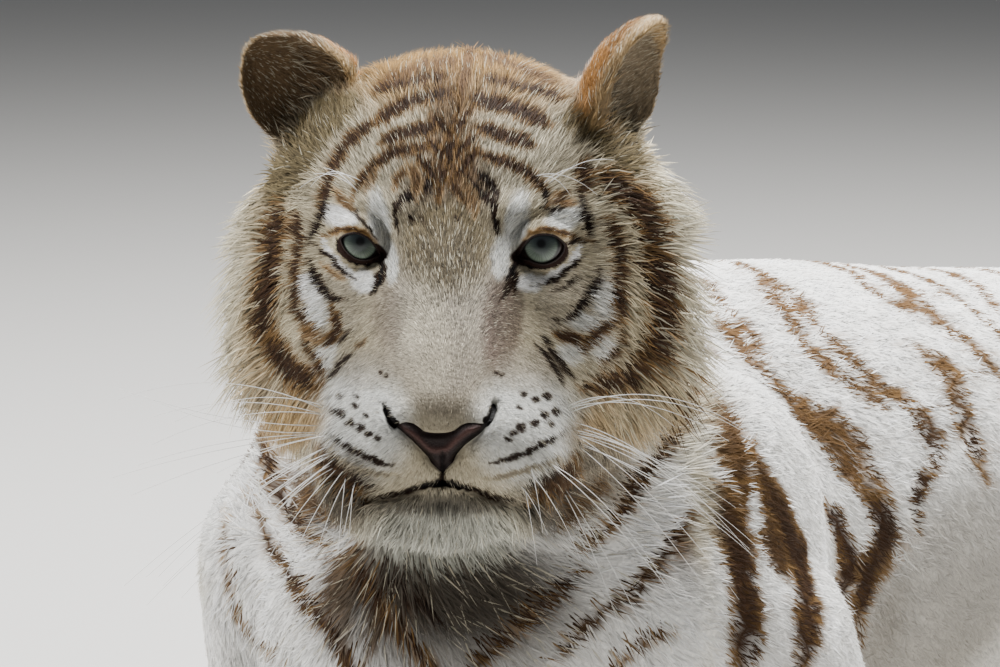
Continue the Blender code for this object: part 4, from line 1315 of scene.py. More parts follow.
# Stripes on the flank chart (along the spine, round from the ridge), from the nape to the root of the tail.
FLANK_STROKES = strokes(
    (FLANK, 26, ((-290, -14), (-300, 60), (-306, 110), (-302, 160)), 0.9),
    (FLANK, 32, ((-222, -14), (-232, 70), (-236, 130), (-228, 190)), 0.9),
    (FLANK, 32, ((-150, -14), (-158, 70), (-166, 120), (-160, 170)), 0.9),
    (FLANK, 26, ((-72, -14), (-84, 60), (-96, 110), (-100, 140)), 0.9),
    (FLANK, 26, ((0, -14), (-12, 60), (-24, 104)), 0.8),
    (FLANK, 28, ((-61, 169), (-79, 186), (-89, 210), (-97, 233), (-99, 262)), 1, 0.35),
    (FLANK, 36, ((-67, 221), (-71, 240), (-66, 260), (-50, 284), (-31, 311), (-45, 344), (-69, 368),
        (-88, 396)), 1, 0.25),
    (FLANK, 23, ((-76, 268), (-72, 292), (-62, 316)), 0.8),
    (FLANK, 36, ((-130, 222), (-124, 258), (-118, 293), (-124, 324), (-128, 355), (-142, 392)), 1, 0.25),
    (FLANK, 24, ((-159, 252), (-168, 282), (-176, 309)), 0.55),
    (FLANK, 32, ((121, 285), (147, 314), (160, 342), (146, 370), (138, 410)), 1, 0.25),
    (FLANK, 18, ((51, 125), (57, 143)), 0.5),
    (FLANK, 18, ((206, -14), (184, 51), (151, 88), (138, 120), (134, 155)), 1, 0.08),
    (FLANK, 23, ((111, 97), (103, 130), (108, 159), (121, 193), (147, 222), (177, 260),
        (202, 295)), 1, 0.12),
    (FLANK, 26, ((122, 184), (167, 213), (209, 243), (227, 276), (241, 304)), 1, 0.35),
    (FLANK, 36, ((150, 216), (186, 246), (206, 276), (222, 306)), 0.35),
    (FLANK, 40, ((190, 278), (208, 300), (234, 322), (220, 345), (193, 366), (185, 405),
        (189, 438)), 1, 0.35),
    (FLANK, 19, ((330, -14), (300, 45), (281, 62), (236, 97), (217, 135), (211, 163), (237, 190),
        (264, 215), (277, 227)), 1, 0.06),
    (FLANK, 24, ((281, 62), (282, 91), (276, 106), (246, 123)), 1, 0.1),
    (FLANK, 21, ((246, 123), (258, 150), (267, 181), (300, 212), (320, 239), (338, 262)), 1, 0.1),
    (FLANK, 36, ((300, 212), (322, 240), (340, 267), (326, 285), (306, 296)), 1, 0.45),
    (FLANK, 18, ((326, 285), (295, 300), (284, 321), (289, 346)), 1, 0.3),
    (FLANK, 18, ((462, -14), (450, 40), (418, 95), (421, 126), (467, 117)), 1, 0.06),
    (FLANK, 26, ((500, -14), (488, 44), (477, 82), (467, 117), (460, 159), (484, 182), (491, 214),
        (506, 250)), 1, 0.35),
    (FLANK, 36, ((384, 171), (397, 189), (414, 215), (400, 244), (403, 276), (414, 310))),
    (FLANK, 18, ((560, -14), (552, 60), (545, 116), (548, 166), (556, 214), (540, 262),
        (546, 320)), 1, 0.1),
    (FLANK, 21, ((640, -14), (630, 40), (620, 73), (598, 124), (590, 170), (604, 220), (622, 262),
        (618, 330)), 1, 0.1),
    (FLANK, 23, ((712, -14), (706, 70), (694, 126), (700, 184), (716, 240), (712, 300), (690, 352),
        (664, 420)), 1, 0.1),
    (FLANK, 16, ((668, 190), (662, 236), (676, 286), (664, 330), (640, 380)), 1, 0.1),
    (FLANK, 23, ((786, -14), (790, 66), (782, 122), (776, 180), (788, 240), (796, 300), (780, 358),
        (748, 440)), 1, 0.1),
    (FLANK, 16, ((748, 210), (744, 262), (752, 320), (736, 372)), 1, 0.1),
    (FLANK, 22, ((862, -14), (868, 72), (860, 130), (858, 190), (872, 246), (874, 304), (860, 380),
        (838, 450)), 1, 0.1),
    (FLANK, 16, ((826, 150), (820, 200), (828, 262), (836, 322), (818, 384)), 1, 0.1),
    (FLANK, 21, ((936, -14), (944, 70), (938, 130), (934, 190), (946, 250), (950, 320),
        (930, 400)), 1, 0.1),
    (FLANK, 16, ((902, 150), (906, 210), (914, 270), (908, 340)), 1, 0.1),
    (FLANK, 20, ((1006, -14), (1014, 70), (1012, 130), (1004, 190), (1016, 250), (1010, 320)), 1, 0.1),
    (FLANK, 18, ((1070, -14), (1076, 60), (1070, 110), (1080, 170), (1074, 230)), 1, 0.1),
    (FLANK, 24, ((-376, -14), (-392, 50), (-398, 100)), 0.9, 0.2),
    (FLANK, 24, ((-338, -14), (-350, 60), (-354, 120)), 0.9, 0.2),
)

# How far back along the spine the whole pattern is laid, in millimetres.
FLANK_SHIFT = -6.0

# Painted shade: grey laid low on the flank, where the coat lies folded near the ground.
FLANK_FOLD_SHADE = patches(
    (Hue.ASH, (340, 420), (200, 110), 0.62, -16),
    (Hue.ASH, (215, 410), (50, 60), 0.35),
)


# ---- skin ----


@dataclass(frozen=True)
class Mound:
    """A swelling (or, when negative, a hollow) of the face, placed on the face chart in millimetres."""

    centre: tuple[float, float]
    radii: tuple[float, float]
    rise: float


@dataclass(frozen=True)
class Pull:
    """A soft pull that shifts the skin across and up on the face chart, in millimetres."""

    centre: tuple[float, float]
    radii: tuple[float, float]
    across: float
    up: float


# How far the ruff is drawn out on the left (1) and the right (-1), and where on the face chart.
RUFF_SWELL = {1: 17 * MM, -1: 11 * MM}
SWELL_PLACE = (138, 44)
SWELL_RADII = (54, 62)

# The left ear's tip drawn to a point, and the right ear drawn lower and broader at its inner foot.
EAR_PULLS = (
    Pull((142, 164), (34, 34), 11, 8),
    Pull((-112, 166), (52, 40), 3, -10),
    Pull((-74, 124), (30, 40), 11, -3),
)


@dataclass(frozen=True)
class Groove:
    """A line pressed into the face along a path on the face chart, in millimetres."""

    path: Path
    width: float
    depth: float


# The edge of the opening between the lids, from the eye's centre, for the left eye (1) and the right (-1).
LID_EDGE = {
    1: (
        (-17.8, -8.6), (-14.2, -2.6), (-9.8, 3.2), (-4.8, 6.4), (1.7, 7.4), (8.9, 6.2), (13.2, 3.4),
        (16.2, -0.4), (14.9, -6.0), (10.3, -11.0), (3.1, -14.2), (-4.1, -13.8), (-9.8, -11.4),
        (-14.2, -10.4),
    ),
    -1: (
        (14.6, -10.8), (10.9, -4.4), (5.9, 1.3), (-0.6, 4.6), (-4.9, 5.0), (-10.0, 4.1), (-13.8, 1.4),
        (-13.4, -2.0), (-10.7, -7.0), (-4.9, -12.4), (2.3, -14.6), (9.5, -13.2),
    ),
}


@dataclass
class EyeSocket:
    """Where one eye looks out: its centre, its own flat axes and the edge of its lids."""

    head: HeadFrame
    side: int
    ball_radius: float = 18.5 * MM
    lid_gap: float = 1.5 * MM
    lid_fold: float = 1.2 * MM
    opening_depth: float = 6.5 * MM
    reach: float = 0.030
    edge: np.ndarray = field(init=False)

    def __post_init__(self) -> None:
        """Rounds the lid edge into a closed line of short steps."""
        self.edge = smooth_ring(LID_EDGE[self.side]) * MM

    def flat(self, points: np.ndarray) -> np.ndarray:
        """Rows of (across, up, toward the viewer) from the eye's centre."""
        away = points - self.head.eyes[self.side]
        return np.stack([away @ self.head.right, away @ self.head.rise, away @ self.head.toward], axis=1)

    def solid(self, flat: np.ndarray) -> np.ndarray:
        """Turns rows of (across, up, toward) back into points.

        Args:
            flat: Rows of (across, up, toward) from the eye's centre.

        Returns:
            Rows of points.
        """
        head = self.head
        across, up, toward = flat[:, :1], flat[:, 1:2], flat[:, 2:]
        return head.eyes[self.side] + across * head.right + up * head.rise + toward * head.toward

    def gap(self, across: np.ndarray, up: np.ndarray) -> np.ndarray:
        """How far places are outside the lid edge; inside it the value is negative."""
        return ring_gap(np.stack([across, up], axis=1), self.edge)

    def bare_width(self, flat: np.ndarray) -> np.ndarray:
        """How wide the bare dark skin beside the lid edge is: narrow above, widest low and outside.

        Args:
            flat: Rows of (across, up, toward) from the eye's centre.

        Returns:
            The width at each point, in metres.
        """
        low = ramp(-1 * MM, -9 * MM, flat[:, 1])
        outer = ramp(2 * MM, 14 * MM, flat[:, 0] * self.side)
        inner = ramp(-9 * MM, -15 * MM, flat[:, 0] * self.side)
        return (0.7 + 2.2 * low + 2.2 * outer * ramp(5 * MM, -3 * MM, flat[:, 1]) + 2.4 * inner) * MM

    def close_lids(self, points: np.ndarray) -> np.ndarray:
        """Draws the skin over the eyeball as lids and leaves the opening between them sunk behind it.

        Args:
            points: The skin's points.

        Returns:
            The moved points.
        """
        flat = self.flat(points)
        reach = np.hypot(flat[:, 0], flat[:, 1])
        near = np.flatnonzero((reach < self.reach) & (flat[:, 2] > -4 * MM))
        here, reach = flat[near], reach[near]
        gap = self.gap(here[:, 0], here[:, 1])
        shell = self.ball_radius + self.lid_gap
        dome = np.sqrt(np.maximum(shell**2 - reach**2, (4 * MM) ** 2))
        fold = self.lid_fold * ramp(0.5 * MM, 3 * MM, gap)
        hug = np.maximum(ramp(0.026, 0.0185, reach), ramp(6 * MM, 2 * MM, gap))
        target = dome + fold - self.opening_depth * ramp(0.0, -1.6 * MM, gap)
        here[:, 2] += (target - here[:, 2]) * hug
        moved = points.copy()
        moved[near] = self.solid(here)
        return moved


@dataclass(frozen=True)
class CoatDepth:
    """How deep the coat is over each zone."""

    depths: dict[Zone, float] = field(
        default_factory=lambda: {
            Zone.HEAD: 5 * MM,
            Zone.EAR: 2.2 * MM,
            Zone.NECK: 10 * MM,
            Zone.CHEST: 8 * MM,
            Zone.TRUNK: 4 * MM,
            Zone.SHOULDER: 4 * MM,
            Zone.FORELEG: 4 * MM,
            Zone.THIGH: 4 * MM,
            Zone.SHANK: 4 * MM,
            Zone.PAW: 2 * MM,
            Zone.TAIL: 5 * MM,
        }
    )
    ruff: float = 20 * MM


# Whisker pads, chin, brows, cheeks and forehead.
FACE_MOUNDS = tuple(
    Mound(*row)
    for row in (
        ((-54, -138), (46, 40), 9.0), ((44, -140), (46, 40), 9.0), ((-5, -205), (50, 28), 7.0),
        ((-5, -176), (60, 10), -4.0), ((-48, 28), (30, 18), 7.0), ((48, 28), (30, 18), 7.0),
        ((-82, 26), (26, 14), 5.0), ((82, 26), (26, 14), 5.0), ((-42, -10), (14, 26), -2.5),
        ((37, -10), (14, 26), -2.5), ((-92, -6), (18, 30), -3.0), ((94, -6), (18, 30), -3.0),
        ((-74, -34), (28, 14), 4.0), ((74, -36), (28, 14), 4.0), ((-4, -20), (36, 50), 3.0),
        ((-3, 66), (14, 60), -3.0), ((-34, 66), (30, 50), 3.0), ((32, 66), (30, 50), 3.0),
    )
)

# Tear lines, lip folds, the mouth and the wings of the nose.
FACE_GROOVES = tuple(
    Groove(*row)
    for row in (
        (((-52, -36), (-55, -60), (-60, -86)), 26, 6),
        (((48, -38), (50, -60), (55, -88)), 26, 6),
        (((-92, -134), (-92, -146), (-79, -159), (-72, -166), (-62, -172), (-57, -178)), 9, 5),
        (((92, -140), (86, -154), (75, -163), (62, -171), (52, -180)), 9, 5),
        (((-60, -179), (-40, -177.5), (-24, -173), (-14, -169.5), (-5.5, -168)), 6, 6),
        (((-5.5, -168), (6, -171), (15, -173.5), (25, -177.5), (34, -180.5), (54, -183)), 6, 6),
        (((-5.5, -150), (-5.5, -168)), 4, 3.5),
        (((-47, -112), (-43, -122), (-38, -129), (-28, -139), (-18, -150), (-8, -158)), 5, 3),
        (((31, -111), (32, -119), (27, -129), (18, -138), (8, -147), (-3, -156)), 5, 3),
        (((-47, -112), (-44.5, -120), (-40, -128)), 4, 3),
        (((32, -111), (30, -119), (26, -126)), 4.5, 3),
        (((-53, -8), (-49, -20), (-50, -32)), 6, 2),
        (((50, -10), (45, -22), (42, -36)), 6, 2),
    )
)


@dataclass
class TigerSkin:
    """The one skin under the coat, from nose to tail tip."""

    body: Body
    voxel: float = 4 * MM
    overlap: float = 0.6 * MM
    body_faces: int = 50_000
    head_middle: tuple[float, float, float] = (0.0, -0.03, -0.04)
    head_radii: tuple[float, float, float] = (0.23, 0.21, 0.24)
    toe_gaps: tuple[float, ...] = (-0.46, 0.0, 0.46)
    toe_gap_width: float = 0.10
    toe_gap_mm: float = 7.0
    toe_rounding_mm: float = 5.0
    depth: CoatDepth = field(default_factory=CoatDepth)
    zones: np.ndarray = field(init=False)
    surface: Surface = field(init=False)
    mesh: bpy.types.Mesh = field(init=False)
    nodes: dict[str, bpy.types.Object] = field(default_factory=lambda: dict(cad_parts))

    def build(self) -> "TigerSkin":
        """Makes the skin's mesh.

        Returns:
            This skin, with its mesh and surface filled in.
        """
        shell = self._one_shell()
        shell = self._soften(shell)
        shell = self._thin_out(shell)
        shell = self._refine_face(shell)
        self._press(shell)
        self.mesh = shell
        self.mesh.name = "skin"
        self.mesh.shade_smooth()
        self.surface = Surface(points_of(shell), normals_of(shell), self.zones)
        return self

    def tree(self) -> BVHTree:
        """The finished skin, ready for lines of sight to be cast at it.

        Returns:
            The tree of its faces.
        """
        return BVHTree.FromPolygons(
            [Vector(point) for point in self.surface.points],
            [list(polygon.vertices) for polygon in self.mesh.polygons],
        )

    def _one_shell(self) -> bpy.types.Mesh:
        """Joins copies of the CAD nodes into one closed surface.

        Returns:
            The joined mesh.
        """
        joined = bmesh.new()
        for node in self.nodes.values():
            part = bmesh.new()
            part.from_mesh(node.data)
            bmesh.ops.remove_doubles(part, verts=part.verts[:], dist=1e-5)
            part.normal_update()
            for vert in part.verts:
                vert.co += vert.normal * self.overlap
            copy = mesh_of(part, "copy")
            joined.from_mesh(copy)
            bpy.data.meshes.remove(copy)
        return self._modified(mesh_of(joined, "shell"), "REMESH", mode="VOXEL", voxel_size=self.voxel)

    def _modified(
        self, mesh: bpy.types.Mesh, kind: str, group: np.ndarray | None = None, **settings
    ) -> bpy.types.Mesh:
        """Runs one modifier on a mesh and returns the result as a new mesh.

        Args:
            mesh: The mesh, which is used up.
            kind: The modifier's kind.
            group: Weights for the modifier's vertex group, if it takes one.
            settings: The modifier's settings.

        Returns:
            The new mesh.
        """
        holder = bpy.data.objects.new("holder", mesh)
        bpy.context.scene.collection.objects.link(holder)
        modifier = holder.modifiers.new("once", kind)
        for name, value in settings.items():
            setattr(modifier, name, value)
        if group is not None:
            members = holder.vertex_groups.new(name="where")
            members.add(np.flatnonzero(group > 0.5).tolist(), 1.0, "REPLACE")
            modifier.vertex_group = "where"
        graph = bpy.context.evaluated_depsgraph_get()
        made = bpy.data.meshes.new_from_object(holder.evaluated_get(graph))
        bpy.data.objects.remove(holder)
        bpy.data.meshes.remove(mesh)
        return made

    def _near_box(self, points: np.ndarray, names: tuple[str, ...], margin: float) -> np.ndarray:
        """Whether each point is in or near one of these nodes' boxes.

        Args:
            points: Rows of points.
            names: The nodes' names.
            margin: How far outside a box still counts.

        Returns:
            True where a point is near.
        """
        near = np.zeros(len(points), bool)
        for name in names:
            low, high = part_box(name)
            near |= ((points > np.array(low) - margin) & (points < np.array(high) + margin)).all(axis=1)
        return near

    def _soften(self, mesh: bpy.types.Mesh) -> bpy.types.Mesh:
        """Rounds off the CAD facets, least on the thin ears and the paws.

        Args:
            mesh: The mesh, changed in place.

        Returns:
            The same mesh.
        """
        points = points_of(mesh)
        pace = np.full(len(points), 0.5)
        pace[self._near_box(points, Zone.PAW.value, 0.01)] = 0.25
        ears = self._near_box(points, Zone.EAR.value, 0.004) & (self.body.head.local(points)[:, 2] > 0.045)
        pace[ears] = 0.04
        points = relax(mesh, points, 28, pace)
        set_points(mesh, points)
        return mesh

    def _on_head(self, points: np.ndarray) -> np.ndarray:
        """Whether each point is on the head or its ruff.

        Args:
            points: Rows of points.

        Returns:
            True where a point is on it.
        """
        local = self.body.head.local(points)
        away = (local - np.array(self.head_middle)) / np.array(self.head_radii)
        return np.linalg.norm(away, axis=1) < 1.0

    def _thin_out(self, mesh: bpy.types.Mesh) -> bpy.types.Mesh:
        """Thins the mesh away from the head.

        Args:
            mesh: The mesh, which is used up.

        Returns:
            The thinned mesh.
        """
        points = points_of(mesh)
        away = ~self._on_head(points)
        faces = len(mesh.polygons)
        ends = np.empty(len(mesh.loops), np.int32)
        mesh.loops.foreach_get("vertex_index", ends)
        body_part = away[ends].mean()
        ratio = (self.body_faces + 2 * faces * (1 - body_part)) / (2 * faces)
        LOG.info("shell of %d quads, %.0f%% on the body", faces, body_part * 100)
        return self._modified(mesh, "DECIMATE", away, ratio=min(ratio, 1.0), vertex_group_factor=1.0)

    def _refine_face(self, mesh: bpy.types.Mesh) -> bpy.types.Mesh:
        """Splits the faces of the face, and again round the eyes, nose and mouth.

        Args:
            mesh: The mesh, changed in place.

        Returns:
            The same mesh.
        """
        head = self.body.head
        shell = bmesh.new()
        shell.from_mesh(mesh)
        bmesh.ops.triangulate(shell, faces=[face for face in shell.faces if len(face.verts) > 3])
        for level in range(2):
            shell.normal_update()
            shell.verts.ensure_lookup_table()
            points = np.array([vert.co for vert in shell.verts], float)
            normals = np.array([vert.normal for vert in shell.verts], float)
            chart = head.chart(points)
            front = (head.facing(normals) > 0.05) & (head.local(points)[:, 1] > -0.07) & self._on_head(points)
            if level == 0:
                chosen = (np.abs(chart[:, 0]) < 120) & (chart[:, 1] < 60) & (chart[:, 1] > -190)
            else:
                chosen = np.linalg.norm((chart - np.array([-6, -143])) / np.array([48, 36]), axis=1) < 1
                for eye in head.eyes.values():
                    chosen |= np.linalg.norm(chart - head.chart(eye[None])[0], axis=1) < 24
            chosen &= front
            edges = [edge for edge in shell.edges if all(chosen[vert.index] for vert in edge.verts)]
            bmesh.ops.subdivide_edges(shell, edges=edges, cuts=1, use_grid_fill=True)
            bmesh.ops.triangulate(shell, faces=[face for face in shell.faces if len(face.verts) > 3])
        shell.to_mesh(mesh)
        shell.free()
        points = relax(mesh, points_of(mesh), 3, np.full(len(mesh.vertices), 0.4))
        set_points(mesh, points)
        mesh.update()
        return mesh

    def _find_zones(self, points: np.ndarray, mesh: bpy.types.Mesh) -> np.ndarray:
        """The share of each zone at each point, from the nearest CAD node, blended across the joins.

        Args:
            points: Rows of points.
            mesh: The mesh the points belong to.

        Returns:
            Rows of shares, one column to a zone.
        """
        corners, faces, owners = [], [], []
        for index, zone in enumerate(ZONES):
            for name in zone.value:
                data = self.nodes[name].data
                start = len(corners)
                corners.extend(vert.co.copy() for vert in data.vertices)
                faces.extend([start + corner for corner in polygon.vertices] for polygon in data.polygons)
                owners.extend([index] * len(data.polygons))
        tree = BVHTree.FromPolygons(corners, faces)
        zones = np.zeros((len(points), len(ZONES)))
        for row, point in enumerate(points):
            found = tree.find_nearest(Vector(point))
            zones[row, owners[found[2]]] = 1.0
        return relax(mesh, zones, 9, np.full(len(points), 0.6))

    def _press(self, mesh: bpy.types.Mesh) -> None:
        """Sinks the skin by the coat's depth and shapes the face and the paws.

        Args:
            mesh: The mesh, changed in place.
        """
        points, normals = points_of(mesh), normals_of(mesh)
        self.zones = self._find_zones(points, mesh)
        points = self._sink(mesh, points, normals)
        points = self._shape_face(points, normals)
        points = self._shape_lids(mesh, points)
        for paw in ("forepaw_left", "forepaw_right", "hind_paw_left", "hind_paw_right"):
            self._toes(paw, points, normals)
        set_points(mesh, points)
        mesh.update()

    def _sink(self, mesh: bpy.types.Mesh, points: np.ndarray, normals: np.ndarray) -> np.ndarray:
        """Moves the points inward by the coat's depth, most under the ruff.

        Args:
            mesh: The mesh the points belong to.
            points: Rows of points.
            normals: Their normals.

        Returns:
            The moved points.
        """
        depth = self.zones @ np.array([self.depth.depths[zone] for zone in ZONES])
        local = self.body.head.local(points)
        on_head = self.zones[:, ZONES.index(Zone.HEAD)]
        ruff = on_head * ramp(0.100, 0.150, np.abs(local[:, 0])) * ramp(0.06, 0.0, local[:, 1])
        back = on_head * ramp(-0.10, -0.16, local[:, 1])
        throat = on_head * ramp(-0.185, -0.215, local[:, 2]) * 0.5
        depth += (self.depth.ruff - depth) * np.clip(np.maximum(ruff, np.maximum(back * 0.5, throat)), 0, 1)
        depth = relax(mesh, depth[:, None], 12, np.full(len(points), 0.5))[:, 0]
        smooth = unit(relax(mesh, normals, 4, np.full(len(points), 0.5)))
        return points - smooth * depth[:, None]

    def _shape_face(self, points: np.ndarray, normals: np.ndarray) -> np.ndarray:
        """Presses the mounds and grooves into the face, and draws out the ruff and the ears.

        Args:
            points: Rows of points.
            normals: Their normals.

        Returns:
            The moved points.
        """
        head = self.body.head
        on_head = self.zones[:, ZONES.index(Zone.HEAD)]
        chart = head.chart(points)
        front = ramp(-0.1, 0.2, head.facing(normals)) * np.clip(on_head * 1.3, 0, 1)
        push = np.zeros(len(points))
        for mound in FACE_MOUNDS:
            push += ball(chart, mound.centre, mound.radii) * mound.rise
        for groove in FACE_GROOVES:
            gap = path_gap(chart, smooth_line(groove.path))
            push -= groove.depth * np.exp(-((gap / (groove.width / 2)) ** 2))
        push -= NOSE_SINK * ramp(1.0, -2.5, NoseLeather.outline_gap(chart))
        points = points + head.toward * (push * front * MM)[:, None]
        across, up = SWELL_PLACE
        for side, swell in RUFF_SWELL.items():
            out = ball(chart, (across * side, up), SWELL_RADII) * on_head * swell * side
            points = points + head.right * out[:, None]
        for pull in EAR_PULLS:
            near = ball(chart, pull.centre, pull.radii) * self.zones[:, ZONES.index(Zone.EAR)]
            points = points + (head.right * pull.across + head.rise * pull.up) * MM * near[:, None]
        return points

    def _shape_lids(self, mesh: bpy.types.Mesh, points: np.ndarray) -> np.ndarray:
        """Draws the lids over both eyeballs and evens out the crease round them.

        Args:
            mesh: The mesh the points belong to.
            points: Rows of points.

        Returns:
            The moved points.
        """
        head = self.body.head
        for side in (1, -1):
            socket = EyeSocket(head, side)
            points = socket.close_lids(points)
            flat = socket.flat(points)
            reach = np.hypot(flat[:, 0], flat[:, 1])
            crease = ramp(0.017, 0.021, reach) * ramp(0.036, 0.028, reach) * (flat[:, 2] > -0.01)
            crease[crease > 0] *= ramp(2 * MM, 5 * MM, socket.gap(flat[crease > 0, 0], flat[crease > 0, 1]))
            points = relax(mesh, points, 14, crease * 0.6)
        return points

    def _toes(self, paw: str, points: np.ndarray, normals: np.ndarray) -> None:
        """Presses the grooves between the four toes into one paw, in place.

        Args:
            paw: The paw's node.
            points: The skin's points.
            normals: Their normals.
        """
        corners = points_of(self.nodes[paw].data)
        middle = corners.mean(axis=0)
        limb = np.array(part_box(paw.replace("forepaw", "forearm").replace("hind_paw", "shank"))).mean(axis=0)
        way = (middle - limb) * np.array([1.0, 1.0, 0.0])
        way /= np.linalg.norm(way)
        beside = np.array([-way[1], way[0], 0.0])
        ahead = (corners - middle) @ way
        half = np.abs((corners - middle) @ beside)[ahead > 0.3 * ahead.max()].max()
        near = np.flatnonzero(self._near_box(points, (paw,), 0.004))
        along = (points[near] - middle) @ way / ahead.max()
        across = (points[near] - middle) @ beside / half
        grooves = sum(np.exp(-(((across - place) / self.toe_gap_width) ** 2)) for place in self.toe_gaps)
        rounding = ramp(0.55, 1.0, along) * (np.abs(across) * 2.17 % 1.0 - 0.5) ** 2 * 1.5
        depth = ramp(0.0, 0.55, along) * grooves * self.toe_gap_mm + rounding * self.toe_rounding_mm
        sink = depth * MM * ramp(-0.9, -0.2, normals[near, 2])
        points[near] -= normals[near] * sink[:, None]


def relax(mesh: bpy.types.Mesh, values: np.ndarray, rounds: int, pace: np.ndarray) -> np.ndarray:
    """Evens values out over the mesh, each point moving toward the mean of its neighbours.

    Args:
        mesh: The mesh whose edges join neighbours.
        values: Rows of values, one row to a point.
        rounds: How often.
        pace: How far each point goes toward the mean in a round.

    Returns:
        The evened values.
    """
    ends = np.empty(len(mesh.edges) * 2, np.int32)
    mesh.edges.foreach_get("vertices", ends)
    first, second = ends.reshape(-1, 2).T
    order = np.argsort(np.concatenate([first, second]), kind="stable")
    owner = np.concatenate([first, second])[order]
    other = np.concatenate([second, first])[order]
    count = np.maximum(np.bincount(owner, minlength=len(values)), 1)[:, None]
    starts = np.flatnonzero(np.r_[True, owner[1:] != owner[:-1]])
    rows = owner[starts]
    values = values.astype(float).copy()
    for _ in range(rounds):
        mean = values.copy()
        mean[rows] = np.add.reduceat(values[other], starts, axis=0) / count[rows]
        values += (mean - values) * pace[:, None]
    return values


# ---- nose ----


# The leather's edge on the face chart, all the way round.
NOSE_EDGE = (
    (-46.6, -112.5), (-44.5, -120), (-40.0, -126.2), (-33.5, -124.6), (-27.0, -125.4), (-22.0, -128.6),
    (-17.0, -131.8), (-6.0, -132.4), (2.0, -131.0), (7.3, -127.4), (12.7, -125.2), (20.7, -125.6),
    (26.0, -123.4), (29.0, -117.0), (30.0, -111.0), (33.5, -112.5), (33.0, -119.5), (29.5, -127.0),
    (25.0, -133.0), (18.5, -138.0), (11.0, -143.5), (4.5, -151.0), (-1.5, -157.0), (-5.6, -161.0),
    (-10.0, -157.5), (-16.5, -151.5), (-22.5, -145.5), (-29.5, -138.0), (-36.5, -132.0), (-43.5, -126.0),
    (-48.5, -117.5),
)

# How far the skin is sunk behind the leather, in millimetres.
NOSE_SINK = 5.0

# The slits that run up and out from the nostrils.
NOSE_SLITS = (((-47, -113), (-44.5, -121), (-37.5, -129.5)), ((32, -112), (30, -119), (25, -127)))


@dataclass(frozen=True)
class NoseLine:
    """A raised or sunk line on the leather, in millimetres, and the paint that shows along it."""

    path: Path
    width: float
    rise: float
    paint: np.ndarray
    strength: float


# The pale ridge over the nostrils, the two nostrils and their slits, painted near-black as painted shade in
# the openings, and the cleft below them.
NOSE_LINES = (
    NoseLine(
        (
            (-38, -127.5), (-30, -131.6), (-23.6, -136.4), (-18, -142), (-12, -145), (-3, -144),
            (3.3, -138.7), (8.7, -134), (14, -130.7), (24, -127.4),
        ),
        2.2, 1.6, Hue.ROSE.paint, 0.8,
    ),
    # nostrils and slits: near-black painted shade in the openings
    NoseLine(((-41, -129.5), (-33, -136), (-25, -143), (-18, -150)), 3.9, -6.0, Hue.CHAR.paint * 0.5, 1.2),
    NoseLine(((27, -130), (19, -136), (12, -142), (6, -149)), 3.9, -6.0, Hue.CHAR.paint * 0.5, 1.2),
    *(NoseLine(slit, 3.6, -2.5, Hue.CHAR.paint * 0.6, 1.0) for slit in NOSE_SLITS),
    NoseLine(((-5.8, -146), (-5.6, -161)), 1.3, -1.8, Hue.CHAR.paint * 0.7, 0.8),
)


